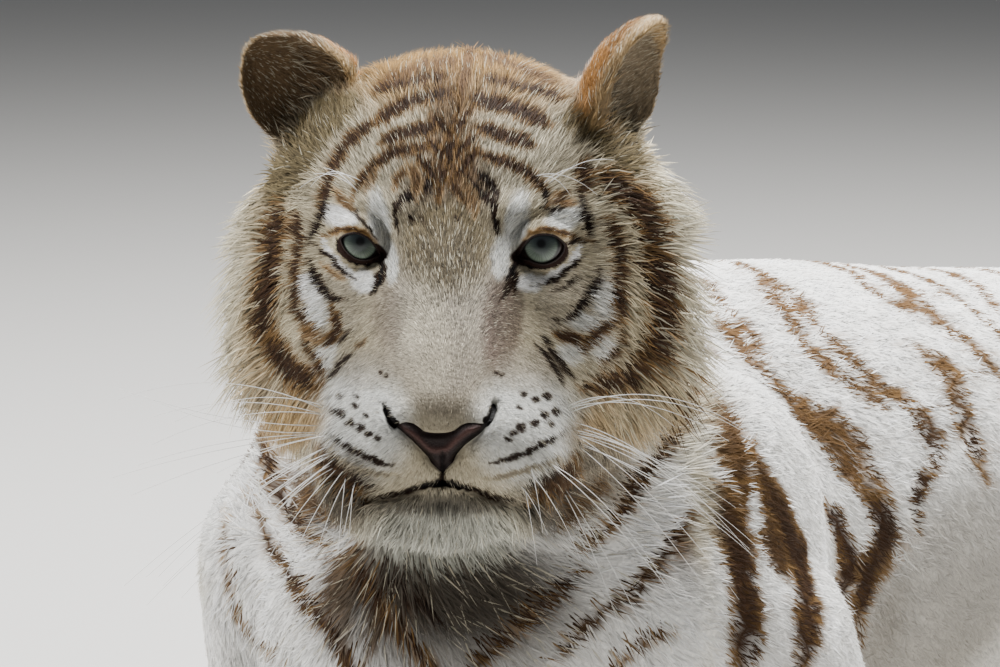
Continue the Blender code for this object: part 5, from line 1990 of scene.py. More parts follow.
@dataclass
class NoseLeather:
    """The bare nose, a bean of leather; its sizes are millimetres on the face chart."""

    body: Body
    skin: TigerSkin
    rings: int = 22
    middle: tuple[float, float] = (-6.5, -138.5)
    spine_half: float = 9.0
    swell: float = 3.0
    back_depth: float = 7.0

    @staticmethod
    def outline_gap(places: np.ndarray) -> np.ndarray:
        """How far chart places are outside the leather, in millimetres; inside it the value is negative.

        Args:
            places: Rows of chart places.

        Returns:
            The signed gap of each place.
        """
        result = np.full(len(places), 50.0)
        near = np.flatnonzero((np.abs(places - np.array([-7, -137])) < np.array([60, 45])).all(axis=1))
        result[near] = ring_gap(places[near], smooth_ring(NOSE_EDGE))
        return result

    def build(self) -> bpy.types.Object:
        """Builds the leather.

        Returns:
            The piece.
        """
        head = self.body.head
        shape, sunk = self._flat()
        places = np.array([(vert.co.x, vert.co.y) for vert in shape.verts])
        heights, tints = self._relief(places)
        tree = self.skin.tree()
        for vert, place, height in zip(shape.verts, places, heights):
            start, aim = head.ray(*place)
            found = tree.ray_cast(start, aim)
            depth = found[3] if found[3] is not None else head.look_distance
            sink = self.back_depth if vert in sunk else -height
            vert.co = start + aim * (depth + sink * MM)
        bmesh.ops.recalc_face_normals(shape, faces=shape.faces[:])
        mesh = settled_mesh(shape, "nose_leather")
        tint_mesh(mesh, tints)
        mesh.shade_smooth()
        return dress(mesh, "nose_leather", NOSE_FINISH.build())

    def _flat(self) -> tuple[bmesh.types.BMesh, set[bmesh.types.BMVert]]:
        """Lays the leather flat on the face chart, in rings from its edge to its spine, with a back.

        Returns:
            The shape, and the points of its back.
        """
        edge = smooth_ring(NOSE_EDGE)
        shape = bmesh.new()
        bmesh.ops.create_circle(shape, segments=len(edge), radius=1.0)
        for vert, place in zip(shape.verts, edge):
            vert.co = (place[0], place[1], 0.0)
        loop = list(shape.edges)
        left, up = self.middle
        for step in range(1, self.rings + 1):
            made = bmesh.ops.extrude_edge_only(shape, edges=loop)["geom"]
            loop = [part for part in made if isinstance(part, bmesh.types.BMEdge)]
            rest = 1 - 1 / (self.rings + 2 - step)
            for vert in (part for part in made if isinstance(part, bmesh.types.BMVert)):
                place = np.array([vert.co.x, vert.co.y])
                hub = np.array([np.clip(place[0], left - self.spine_half, left + self.spine_half), up])
                place = hub + (place - hub) * rest
                vert.co = (place[0], place[1], 0.0)
        bmesh.ops.contextual_create(shape, geom=loop)
        bmesh.ops.triangulate(shape, faces=[face for face in shape.faces if len(face.verts) > 4])
        rim = [one for one in shape.edges if len(one.link_faces) == 1]
        back = bmesh.ops.extrude_edge_only(shape, edges=rim)["geom"]
        loop = [part for part in back if isinstance(part, bmesh.types.BMEdge)]
        bmesh.ops.contextual_create(shape, geom=loop)
        return shape, {part for part in back if isinstance(part, bmesh.types.BMVert)}

    def _relief(self, places: np.ndarray) -> tuple[np.ndarray, np.ndarray]:
        """The height over the skin, in millimetres, and the colour, at places on the leather.

        Args:
            places: Rows of chart places.

        Returns:
            The heights and the colours.
        """
        gap = self.outline_gap(places)
        height = -0.8 + self.swell * ramp(0.5, -5.0, gap) + NOSE_SINK * ramp(1.0, -2.5, gap)
        tint = np.tile(Hue.LIVER.paint, (len(places), 1))
        for line in NOSE_LINES:
            near = np.exp(-((path_gap(places, smooth_line(line.path)) / line.width) ** 2))
            height += line.rise * near
            tinge(tint, line.paint, np.clip(near * line.strength, 0, 1))
        return height, tint


# ---- coat ----


def spread_anchors(places: np.ndarray, anchors: tuple, reach: float) -> np.ndarray:
    """Blends values set at a few anchors over a chart.

    Args:
        places: Rows of chart places.
        anchors: Pairs of a place and its value or values; a place is used on both sides of the face.
        reach: How far an anchor's pull spreads, in the chart's unit.

    Returns:
        Rows of blended values.
    """
    total, pull = 0.0, 0.0
    for (across, up), value in anchors:
        for side in (1, -1):
            shown = np.atleast_1d(np.array(value, float)).copy()
            if len(shown) == 2:
                shown[0] *= side
            gap = ((places - np.array([across * side, up])) ** 2).sum(axis=1)
            force = np.exp(-gap / (2 * reach**2))[:, None] + 1e-12
            total = total + force * shown
            pull = pull + force
    return total / pull


# Hair length in millimetres at places on the face chart, for either side.
FACE_LENGTHS = (
    ((5, -115), 3.6), ((5, -70), 4.2), ((30, -50), 5.0), ((5, -15), 7.0), ((5, 30), 8.0), ((20, 70), 7.5),
    ((5, 130), 14.0), ((48, 22), 8.0), ((62, 0), 3.6), ((82, 20), 7.0), ((60, -35), 6.0), ((90, -30), 9.0),
    ((95, -65), 11.0), ((110, 10), 13.0), ((110, -50), 14.0), ((75, 60), 9.5), ((80, 100), 12.0),
    ((110, 60), 26.0), ((138, 20), 36.0), ((140, -40), 28.0), ((160, -20), 46.0), ((160, -80), 50.0),
    ((130, -120), 40.0), ((150, -170), 42.0), ((110, -180), 40.0), ((100, -130), 22.0), ((55, -112), 4.6),
    ((70, -130), 5.5), ((40, -150), 5.0), ((20, -163), 4.0), ((10, -183), 7.0), ((5, -205), 20.0),
    ((50, -200), 26.0), ((80, -175), 22.0),
)

# Which way hair runs (across outward, up) at places on the face chart, for either side.
FACE_FLOWS = (
    ((0, -120), (0.0, 1.0)), ((5, -70), (0.1, 1.0)), ((5, -20), (0.2, 1.0)), ((30, -80), (0.8, 0.2)),
    ((34, -40), (0.7, 0.2)), ((20, 10), (0.35, 1.0)), ((10, 60), (0.1, 1.0)), ((45, 70), (0.45, 1.0)),
    ((70, 90), (0.7, 1.0)), ((5, 130), (0.1, 1.0)), ((46, 15), (0.45, 1.0)), ((40, -10), (0.2, 0.9)),
    ((70, 22), (0.9, 0.55)), ((95, 22), (1.0, 0.3)), ((100, 0), (1.0, -0.05)), ((62, -28), (0.7, -0.5)),
    ((85, -30), (0.95, -0.3)), ((60, -70), (0.8, -0.6)), ((100, -60), (1.0, -0.3)),
    ((90, -95), (0.9, -0.5)), ((45, -104), (0.9, 0.1)), ((62, -125), (1.0, -0.35)),
    ((45, -155), (0.8, -0.7)), ((15, -158), (0.35, -1.0)), ((5, -185), (0.1, -1.0)),
    ((40, -190), (0.5, -0.85)), ((130, -120), (0.8, -0.6)), ((115, -180), (0.6, -0.8)),
    ((150, -40), (1.0, -0.3)), ((150, 30), (1.0, 0.1)), ((130, 80), (0.8, 0.55)), ((95, 110), (0.7, 0.8)),
)


@dataclass(frozen=True)
class Growth:
    """How hair grows at points: length, width, lift from the skin, crowding and which way it lies."""

    length: np.ndarray
    width: np.ndarray
    lift: np.ndarray
    crowd: np.ndarray
    flow: np.ndarray


ZONE_GROWTH = {
    # zone: length, width, lift in radians, and how often the tufts cover the skin
    Zone.HEAD: (20 * MM, 1.3 * MM, 0.32, 3.0),
    Zone.EAR: (6 * MM, 0.9 * MM, 0.30, 1.5),
    Zone.NECK: (28 * MM, 1.7 * MM, 0.22, 2.6),
    Zone.CHEST: (22 * MM, 1.8 * MM, 0.17, 1.2),
    Zone.TRUNK: (13 * MM, 1.9 * MM, 0.13, 1.2),
    Zone.SHOULDER: (14 * MM, 1.7 * MM, 0.13, 1.5),
    Zone.FORELEG: (13 * MM, 1.6 * MM, 0.14, 0.65),
    Zone.THIGH: (14 * MM, 2.0 * MM, 0.13, 0.75),
    Zone.SHANK: (12 * MM, 1.7 * MM, 0.15, 0.6),
    Zone.PAW: (7 * MM, 1.5 * MM, 0.18, 0.25),
    Zone.TAIL: (22 * MM, 2.0 * MM, 0.24, 2.2),
}


@dataclass
class Grower:
    """Works out how the coat grows over the whole skin."""

    body: Body
    skin: TigerSkin

    def grow(self) -> Growth:
        """Finds the growth at every point of the skin.

        Returns:
            The growth, one row to a point.
        """
        surface, head = self.skin.surface, self.body.head
        table = np.array([ZONE_GROWTH[zone] for zone in ZONES])
        length, width, lift, crowd = (surface.zones @ table).T
        chart = head.chart(surface.points)
        facing = ramp(-0.35, 0.1, head.facing(surface.normals))
        on_head = np.clip(surface.share(Zone.HEAD) * 1.2, 0, 1)
        face = facing * on_head
        near = np.flatnonzero(face > 0.01)
        spread = spread_anchors(chart[near], FACE_LENGTHS, 17.0)[:, 0] * MM
        length[near] += (spread - length[near]) * face[near]
        fine = np.clip(spread * 0.030 + 0.62 * MM, 0.74 * MM, 1.45 * MM)
        width[near] += (fine - width[near]) * face[near]
        rise = np.interp(spread, [4 * MM, 12 * MM, 30 * MM], [0.30, 0.28, 0.40])
        lift[near] += (rise - lift[near]) * face[near]
        full = np.interp(spread, [4 * MM, 12 * MM, 30 * MM], [2.6, 3.2, 4.2])
        crowd[near] += (full - crowd[near]) * face[near]
        sideways = ramp(0.75, 0.2, head.facing(surface.normals)) * ramp(90, 20, chart[:, 1])
        fringe = on_head * sideways * (ramp(118, 150, chart[:, 0]) + 0.5 * ramp(-110, -140, chart[:, 0]))
        lift += 0.24 * fringe
        length += 4 * MM * fringe
        crown = face * ramp(116, 142, chart[:, 1])
        lift += 0.18 * crown
        length += 12 * MM * face * ball(chart, (15, 142), (10, 14))
        for side in (1, -1):
            socket = EyeSocket(head, side)
            flat = socket.flat(surface.points)
            gap = np.full(len(flat), 1.0)
            close = np.flatnonzero((np.hypot(flat[:, 0], flat[:, 1]) < 0.03) & (flat[:, 2] > 0))
            gap[close] = socket.gap(flat[close, 0], flat[close, 1])
            bare = socket.bare_width(flat)
            crowd *= ramp(0.55, 1.0, gap / bare)
            length *= 0.45 + 0.55 * ramp(1 * MM, 8 * MM, gap)
        for side in (1, -1):
            ear = EarFrame(head, side)
            local = ear.local(surface.points)
            medial = -local[:, 0] * side
            hollow = surface.share(Zone.EAR) * ramp(1.3, 1.15, ear.cup(local))
            hollow = hollow * ramp(0.97, 0.9, ear.shell(local))
            tufted = hollow * ramp(-0.012, 0.012, medial + 0.3 * (0.03 - local[:, 2]))
            tufted = tufted * ramp(0.072, 0.050, local[:, 2])
            length += tufted * 14 * MM
            lift += tufted * 0.45
            crowd *= 1 - 0.35 * tufted
        nose = NoseLeather.outline_gap(chart)
        for slit in NOSE_SLITS:
            nose = np.minimum(nose, path_gap(chart, np.array(slit, float)) - 1.5)
        crowd *= np.where(face > 0.5, ramp(-1.0, 1.5, nose), 1.0)
        return Growth(length, width, lift, crowd, self._flow(chart, facing, on_head))

    def _flow(self, chart: np.ndarray, facing: np.ndarray, on_head: np.ndarray) -> np.ndarray:
        """Which way the coat lies at every point.

        Args:
            chart: The skin's points on the face chart.
            facing: How much each point faces the chart, from 0 to 1.
            on_head: How much of each point is the head's.

        Returns:
            Rows of directions along the skin.
        """
        surface, head, body = self.skin.surface, self.body.head, self.body
        points, normals = surface.points, surface.normals
        along, left, height = body.spine.local(points).T
        back = body.spine.tailward(points)
        down = np.array([0.0, 0.0, -1.0])
        sag = 0.25 + 0.55 * ramp(0.5, 0.15, height)
        way = unit(back + sag[:, None] * down)
        for side, name in ((1, "left"), (-1, "right")):
            here = ramp(-0.01, 0.01, left * side)
            for zone, start, end in (
                (Zone.FORELEG, "forearm", "forepaw"),
                (Zone.SHANK, "shank", "hind_paw"),
                (Zone.THIGH, "thigh", "shank"),
            ):
                run = node_middle(f"{end}_{name}") - node_middle(f"{start}_{name}")
                share = surface.share(zone) * here * (0.6 if zone is Zone.THIGH else 1.0)
                way += share[:, None] * (unit(run) - way)
            toes = surface.share(Zone.PAW) * here
            fore = ramp(0.25, 0.05, along)[:, None]
            run = unit(node_middle(f"forepaw_{name}") - node_middle(f"forearm_{name}")) * fore
            run = run + unit(node_middle(f"hind_paw_{name}") - node_middle(f"shank_{name}")) * (1 - fore)
            way += toes[:, None] * (run - way)
        tail = np.flatnonzero(surface.share(Zone.TAIL) > 0.01)
        _, runs = body.along_tail(points[tail])
        way[tail] += surface.share(Zone.TAIL)[tail, None] * (runs - way[tail])
        flat = unit(spread_anchors(chart, FACE_FLOWS, 16.0))
        front = flat[:, :1] * head.right + flat[:, 1:] * head.rise
        behind = head.aim(np.array([[0.0, -1.0, -0.15]]))[0] + 0.35 * down
        on_face = front * facing[:, None] + behind * (1 - facing)[:, None]
        way += on_head[:, None] * (on_face - way)
        for side in (1, -1):
            ear = EarFrame(head, side)
            local = ear.local(points)
            mine = surface.share(Zone.EAR) * (ear.shell(local) < 1.6)
            fan = np.stack([local[:, 0] * 8 + side * 0.5, local[:, 0] * 0.0, local[:, 0] * 0.0 + 1.0], axis=1)
            way += mine[:, None] * (unit(ear.aim(fan)) - way)
        way = way - (way * normals).sum(axis=1)[:, None] * normals
        way = relax(self.skin.mesh, unit(way), 3, np.full(len(points), 0.5))
        way = way - (way * normals).sum(axis=1)[:, None] * normals
        return unit(way)


class Cut(Enum):
    """How a tuft is made: SHORT is one pointed blade, LONG bends once on its way to the point."""

    SHORT = 4
    LONG = 10


class Unwrap(Enum):
    """The kinds of unwrap that the coat's bake map uses."""

    FACE = "round the line of sight to the face"
    TRUNK = "round the spine"
    TAIL = "round the tail"
    EAR = "both flat sides of an ear"


@dataclass(frozen=True)
class Pelt:
    """One piece of the coat: its name, where it grows, how its tufts are cut and how its bake map is laid."""

    name: str
    zones: tuple[Zone, ...]
    cut: Cut = Cut.SHORT
    unwrap: Unwrap = Unwrap.TRUNK
    side: int = 0
    low: tuple[float, float] = (-900.0, -900.0)
    high: tuple[float, float] = (900.0, 900.0)
    lengths: tuple[float, float] = (0.0, 1.0)
    crowd: float = 1.0
    droop: float = 0.0
    # How dark a short tuft's root is painted against its tint: painted shade where the hairs shade one
    # another.
    root_shade: float = 0.68
    slot: str = "coat"


# The short fur of the face, and the long fur of the ruff behind it.
FACE_PELT = Pelt("fur_face", (Zone.HEAD,), Cut.SHORT, Unwrap.FACE, lengths=(0, 0.0165), root_shade=0.5)
RUFF_PELT = Pelt("fur_ruff", (Zone.HEAD,), Cut.LONG, Unwrap.FACE, lengths=(0.0165, 1), droop=0.16)

PELTS = (
    replace(FACE_PELT, name="fur_muzzle", high=(900, -62), crowd=0.82),
    replace(FACE_PELT, name="fur_bridge_and_brow", low=(-900, -62), high=(900, 34)),
    replace(FACE_PELT, name="fur_forehead", low=(-900, 34)),
    replace(RUFF_PELT, name="fur_ruff_left", side=1, crowd=0.9),
    replace(RUFF_PELT, name="fur_ruff_right", side=-1, crowd=0.84),
    Pelt("fur_ears", (Zone.EAR,), unwrap=Unwrap.EAR, slot="ear_coat"),
    Pelt("fur_neck", (Zone.NECK,), droop=0.06),
    Pelt("fur_chest", (Zone.CHEST,), droop=0.04),
    Pelt("fur_trunk_left", (Zone.TRUNK,), side=1),
    Pelt("fur_trunk_right", (Zone.TRUNK,), side=-1, crowd=0.5),
    Pelt("fur_shoulder_left", (Zone.SHOULDER,), side=1),
    Pelt("fur_shoulder_right", (Zone.SHOULDER,), side=-1, crowd=0.6),
    Pelt("fur_forelegs", (Zone.FORELEG,)),
    Pelt("fur_thighs", (Zone.THIGH,)),
    Pelt("fur_shanks", (Zone.SHANK,)),
    Pelt("fur_paws", (Zone.PAW,)),
    Pelt("fur_tail", (Zone.TAIL,), unwrap=Unwrap.TAIL),
)


@dataclass
class Tufts:
    """The tufts of one piece: roots, the growth there, which way they point, their lengths and colours."""

    roots: np.ndarray
    normals: np.ndarray
    local: Growth
    run: np.ndarray
    length: np.ndarray
    tint: np.ndarray


@dataclass
class Coat:
    """All the coat, grown from the skin."""

    body: Body
    skin: TigerSkin
    markings: Markings
    most_triangles: int = 196_000
    patch: float = 0.003
    root_depth_mm: float = 0.8
    shading_lean: float = 0.26
    dark_stray: float = 0.38
    growth: Growth = field(init=False)
    corners: np.ndarray = field(init=False)
    finish: bpy.types.Material = field(init=False)

    def build(self) -> list[bpy.types.Object]:
        """Grows every pelt.

        Returns:
            The pieces.
        """
        self.growth = Grower(self.body, self.skin).grow()
        mesh = self.skin.mesh
        mesh.calc_loop_triangles()
        corners = np.empty(len(mesh.loop_triangles) * 3, np.int32)
        mesh.loop_triangles.foreach_get("vertices", corners)
        self.corners = corners.reshape(-1, 3)
        self.finish = FUR_FINISH.build()
        return [self._grow_pelt(pelt, index) for index, pelt in enumerate(PELTS)]

    def _grow_pelt(self, pelt: Pelt, index: int) -> bpy.types.Object:
        """Grows one piece of coat.

        Args:
            pelt: The piece of coat.
            index: Its number, which sets its random draws.

        Returns:
            The piece.
        """
        draw = np.random.default_rng(SEED + index)
        picked, mix = self._pick(pelt, draw)
        tufts = self._tufts(pelt, picked, mix, draw)
        mesh, order = self._blades(pelt, tufts, draw)
        self._bake_map(mesh, pelt, tufts, order)
        return dress(mesh, pelt.name, self.finish)

    def _pick(self, pelt: Pelt, draw: np.random.Generator) -> tuple[np.ndarray, np.ndarray]:
        """Picks the roots of a piece's tufts, spread evenly by how crowded the coat is.

        Args:
            pelt: The piece.
            draw: The random draws.

        Returns:
            The three corners of each root's triangle, and how much of each corner the root takes.
        """
        surface, growth, corners = self.skin.surface, self.growth, self.corners
        chart = self.body.head.chart(surface.points)
        left = (surface.points - self.body.head.origin) @ self.body.head.right
        if Zone.HEAD not in pelt.zones:
            left = self.body.spine.local(surface.points)[:, 1]
        owner = surface.zones.argmax(axis=1)
        mine = np.isin(owner, [ZONES.index(zone) for zone in pelt.zones])
        mine &= (chart > np.array(pelt.low)).all(axis=1) & (chart <= np.array(pelt.high)).all(axis=1)
        mine &= (growth.length >= pelt.lengths[0]) & (growth.length < pelt.lengths[1])
        if pelt.side:
            mine &= left * pelt.side > 0
        thick = growth.crowd * pelt.crowd / (0.5 * growth.length * growth.width)
        chosen = corners[mine[corners[:, 0]]]
        a, b, c = (surface.points[chosen[:, corner]] for corner in range(3))
        area = 0.5 * np.linalg.norm(np.cross(b - a, c - a), axis=1)
        need = area * thick[chosen].mean(axis=1)
        wanted = int(need.sum())
        count = min(wanted, self.most_triangles // pelt.cut.value)
        LOG.info("%s: %d tufts of %d wanted", pelt.name, count, wanted)
        totals = np.cumsum(need) / need.sum()
        rows = np.searchsorted(totals, (np.arange(count) + draw.random(count)) / count)
        shares = np.sort(draw.random((count, 2)), axis=1)
        mix = np.stack([shares[:, 0], shares[:, 1] - shares[:, 0], 1 - shares[:, 1]], axis=1)
        return chosen[np.minimum(rows, len(need) - 1)], mix

    def _tufts(self, pelt: Pelt, picked: np.ndarray, mix: np.ndarray, draw: np.random.Generator) -> Tufts:
        """Works out the tufts at the picked roots.

        Args:
            pelt: The piece.
            picked: The three corners of each root's triangle.
            mix: How much of each corner the root takes.
            draw: The random draws.

        Returns:
            The tufts.
        """
        surface, growth, count = self.skin.surface, self.growth, len(picked)

        def between(values: np.ndarray) -> np.ndarray:
            """The values at the roots."""
            shape = mix if values.ndim == 1 else mix[:, :, None]
            return (values[picked] * shape).sum(axis=1)

        roots, normals = between(surface.points), unit(between(surface.normals))
        local = Growth(*(between(getattr(growth, one.name)) for one in fields(Growth)))
        flow = self._ruffle(roots, normals, local, draw)
        length = local.length * draw.uniform(0.7, 1.25, count)
        lift = local.lift * draw.uniform(0.5, 1.6, count)
        run = flow * np.cos(lift)[:, None] + normals * np.sin(lift)[:, None]
        shown = roots + run * (length * 0.58)[:, None]
        shown = shown + draw.normal(size=(count, 3)) * (length * 0.06)[:, None]
        shown[:, 2] -= length * pelt.droop * 0.35
        here = Surface(shown, normals, between(surface.zones))
        tint = self.markings.paint(here)
        head_share = here.share(Zone.HEAD, Zone.EAR)
        clump = ripple(roots, 0.0045, 61) * ripple(roots, 0.014, 62)
        spread = draw.normal(size=count) * (0.07 + 0.23 * head_share)
        tint *= np.exp(spread + clump * (0.05 + 0.22 * head_share))[:, None]
        dark, pale = self.markings.stray(here)
        chance = draw.random(count)
        tint = np.where((chance < dark)[:, None], tint * self.dark_stray, tint)
        tint = np.where((chance > 1 - pale)[:, None], tint * 0.3 + Hue.CREAM.paint * 0.6, tint)
        return Tufts(roots, normals, local, run, length, tint)

    def _ruffle(
        self, roots: np.ndarray, normals: np.ndarray, local: Growth, draw: np.random.Generator
    ) -> np.ndarray:
        """Parts the lie of the coat into loose locks.

        Args:
            roots: Where the tufts grow.
            normals: The skin's normals there.
            local: The growth at the roots.
            draw: The random draws.

        Returns:
            Rows of directions along the skin.
        """
        size = np.clip(local.length * 1.1, 6 * MM, 30 * MM)
        sway = np.zeros_like(roots)
        for scale, amount in ((0.012, 0.16), (0.03, 0.12)):
            sway += amount * wander(roots, scale, 41, 3)
        sway += 0.13 * draw.normal(size=roots.shape)
        way = local.flow + sway * np.clip(size / 0.012, 0.5, 1.5)[:, None]
        return unit(way - (way * normals).sum(axis=1)[:, None] * normals)

    def _blades(
        self, pelt: Pelt, tufts: Tufts, draw: np.random.Generator
    ) -> tuple[bpy.types.Mesh, np.ndarray]:
        """Makes one joined mesh of closed, pointed tufts.

        Args:
            pelt: The piece.
            tufts: Its tufts.
            draw: The random draws.

        Returns:
            The mesh, coloured and with its shading normals set, and the points of one tuft's faces in order.
        """
        roots, normals, run, length = tufts.roots, tufts.normals, tufts.run, tufts.length
        count = len(roots)
        beside = unit(np.cross(normals, run))
        half = (tufts.local.width * draw.uniform(0.7, 1.2, count) / 2)[:, None]
        reach = length[:, None]
        lean = draw.normal(size=(count, 3)) * self.shading_lean
        start = roots - normals * self.root_depth_mm * MM
        ridge = half * 0.8
        tips = start + run * reach
        tips[:, 2] -= length * pelt.droop
        # Each tuft is painted darker toward its root, as painted shade where the hairs shade one another, and
        # lighter at its tip, as painted light.
        if pelt.cut is Cut.SHORT:
            rows = [start - beside * half, start + beside * half, start + normals * ridge, tips]
            turns = [normals - beside * 0.7, normals + beside * 0.7, normals, normals + run * 0.3]
            painted_hair_shade = [pelt.root_shade, pelt.root_shade, pelt.root_shade * 1.1, 1.12]
            faces = [(0, 2, 1), (1, 2, 3), (2, 0, 3), (0, 1, 3)]
        else:
            middle = start + run * reach * 0.5 + normals * reach * 0.05
            middle[:, 2] -= length * pelt.droop * 0.25
            thin = half * 0.85
            rows = [start - beside * half, start + beside * half, start + normals * ridge]
            rows += [middle - beside * thin, middle + beside * thin, middle + normals * ridge * 0.85, tips]
            turns = [normals - beside * 0.7, normals + beside * 0.7, normals] * 2 + [normals + run * 0.3]
            painted_hair_shade = [0.42, 0.42, 0.5, 0.86, 0.86, 0.92, 1.14]
            faces = [(0, 2, 1), (1, 2, 5), (1, 5, 4), (2, 0, 3), (2, 3, 5), (0, 1, 4), (0, 4, 3)]
            faces += [(4, 5, 6), (5, 3, 6), (3, 4, 6)]
        per = len(rows)
        points = np.stack(rows, axis=1).reshape(-1, 3)
        corners = (np.arange(count)[:, None, None] * per + np.array(faces)[None]).reshape(-1)
        mesh = bpy.data.meshes.new(pelt.name)
        mesh.vertices.add(len(points))
        set_points(mesh, points)
        mesh.loops.add(len(corners))
        mesh.loops.foreach_set("vertex_index", corners.astype(np.int32))
        mesh.polygons.add(len(corners) // 3)
        mesh.polygons.foreach_set("loop_start", np.arange(0, len(corners), 3, dtype=np.int32))
        mesh.update(calc_edges=True)
        mesh.shade_smooth()
        facing = unit((np.stack(turns, axis=1) + lean[:, None, :]).reshape(-1, 3))
        mesh.normals_split_custom_set_from_vertices(facing)
        tint_mesh(mesh, (tufts.tint[:, None, :] * np.array(painted_hair_shade)[None, :, None]).reshape(-1, 3))
        return mesh, np.array(faces).ravel()

    def _bake_map(self, mesh: bpy.types.Mesh, pelt: Pelt, tufts: Tufts, order: np.ndarray) -> None:
        """Lays the bake map: every tuft is a small patch at its root's place on an unwrap of the skin.

        Args:
            mesh: The mesh.
            pelt: The piece of coat.
            tufts: The piece's tufts.
            order: The points of one tuft's faces in order.
        """
        place = self._unwrap(pelt, tufts.roots, tufts.normals)
        low, high = place.min(axis=0), place.max(axis=0)
        place = 0.01 + 0.98 * (place - low) / np.maximum(high - low, 1e-6)
        ring = order / order.max() * math.tau
        spot = np.stack([np.cos(ring), np.sin(ring)], axis=1) * self.patch / 2
        uv = (place[:, None, :] + spot[None]).reshape(-1, 2)
        layer = mesh.uv_layers.new(name="OFBake")
        layer.uv.foreach_set("vector", uv.astype(np.float32).ravel())

    def _unwrap(self, pelt: Pelt, roots: np.ndarray, normals: np.ndarray) -> np.ndarray:
        """Rows of places on the piece's own unwrap of the skin.

        Args:
            pelt: The piece of coat.
            roots: Where the tufts grow.
            normals: The skin's normals there.

        Returns:
            Rows of places.
        """
        head, spine = self.body.head, self.body.spine
        if pelt.unwrap is Unwrap.FACE:
            away = unit(roots - (head.origin - head.toward * 0.10))
            tilt = np.arccos(np.clip(away @ head.toward, -1, 1))
            angle = np.arctan2(away @ head.rise, away @ head.right)
            return np.stack([tilt * np.cos(angle), tilt * np.sin(angle)], axis=1)
        if pelt.unwrap is Unwrap.TAIL:
            share, runs = self.body.along_tail(roots)
            middle = self.body.tail_line[np.round(share * (len(self.body.tail_line) - 1)).astype(int)]
            away = roots - middle
            share = share + (away * runs).sum(axis=1) / self.body.tail.length
            beside = np.cross(runs, np.array([0.0, 0.0, 1.0]))
            return np.stack([share, np.arctan2((away * beside).sum(axis=1), away[:, 2]) * 0.1], axis=1)
        if pelt.unwrap is Unwrap.EAR:
            local = head.local(roots)
            front = (head.facing(normals) > 0) * 0.25
            return np.stack([np.abs(local[:, 0]) + np.sign(local[:, 0]) * 0.3, local[:, 2] + front], axis=1)
        along, left, height = spine.local(roots).T
        angle = np.arctan2(left, height - spine.axis_height)
        return np.stack([along, angle * spine.girth_radius], axis=1)


# ---- eyes ----


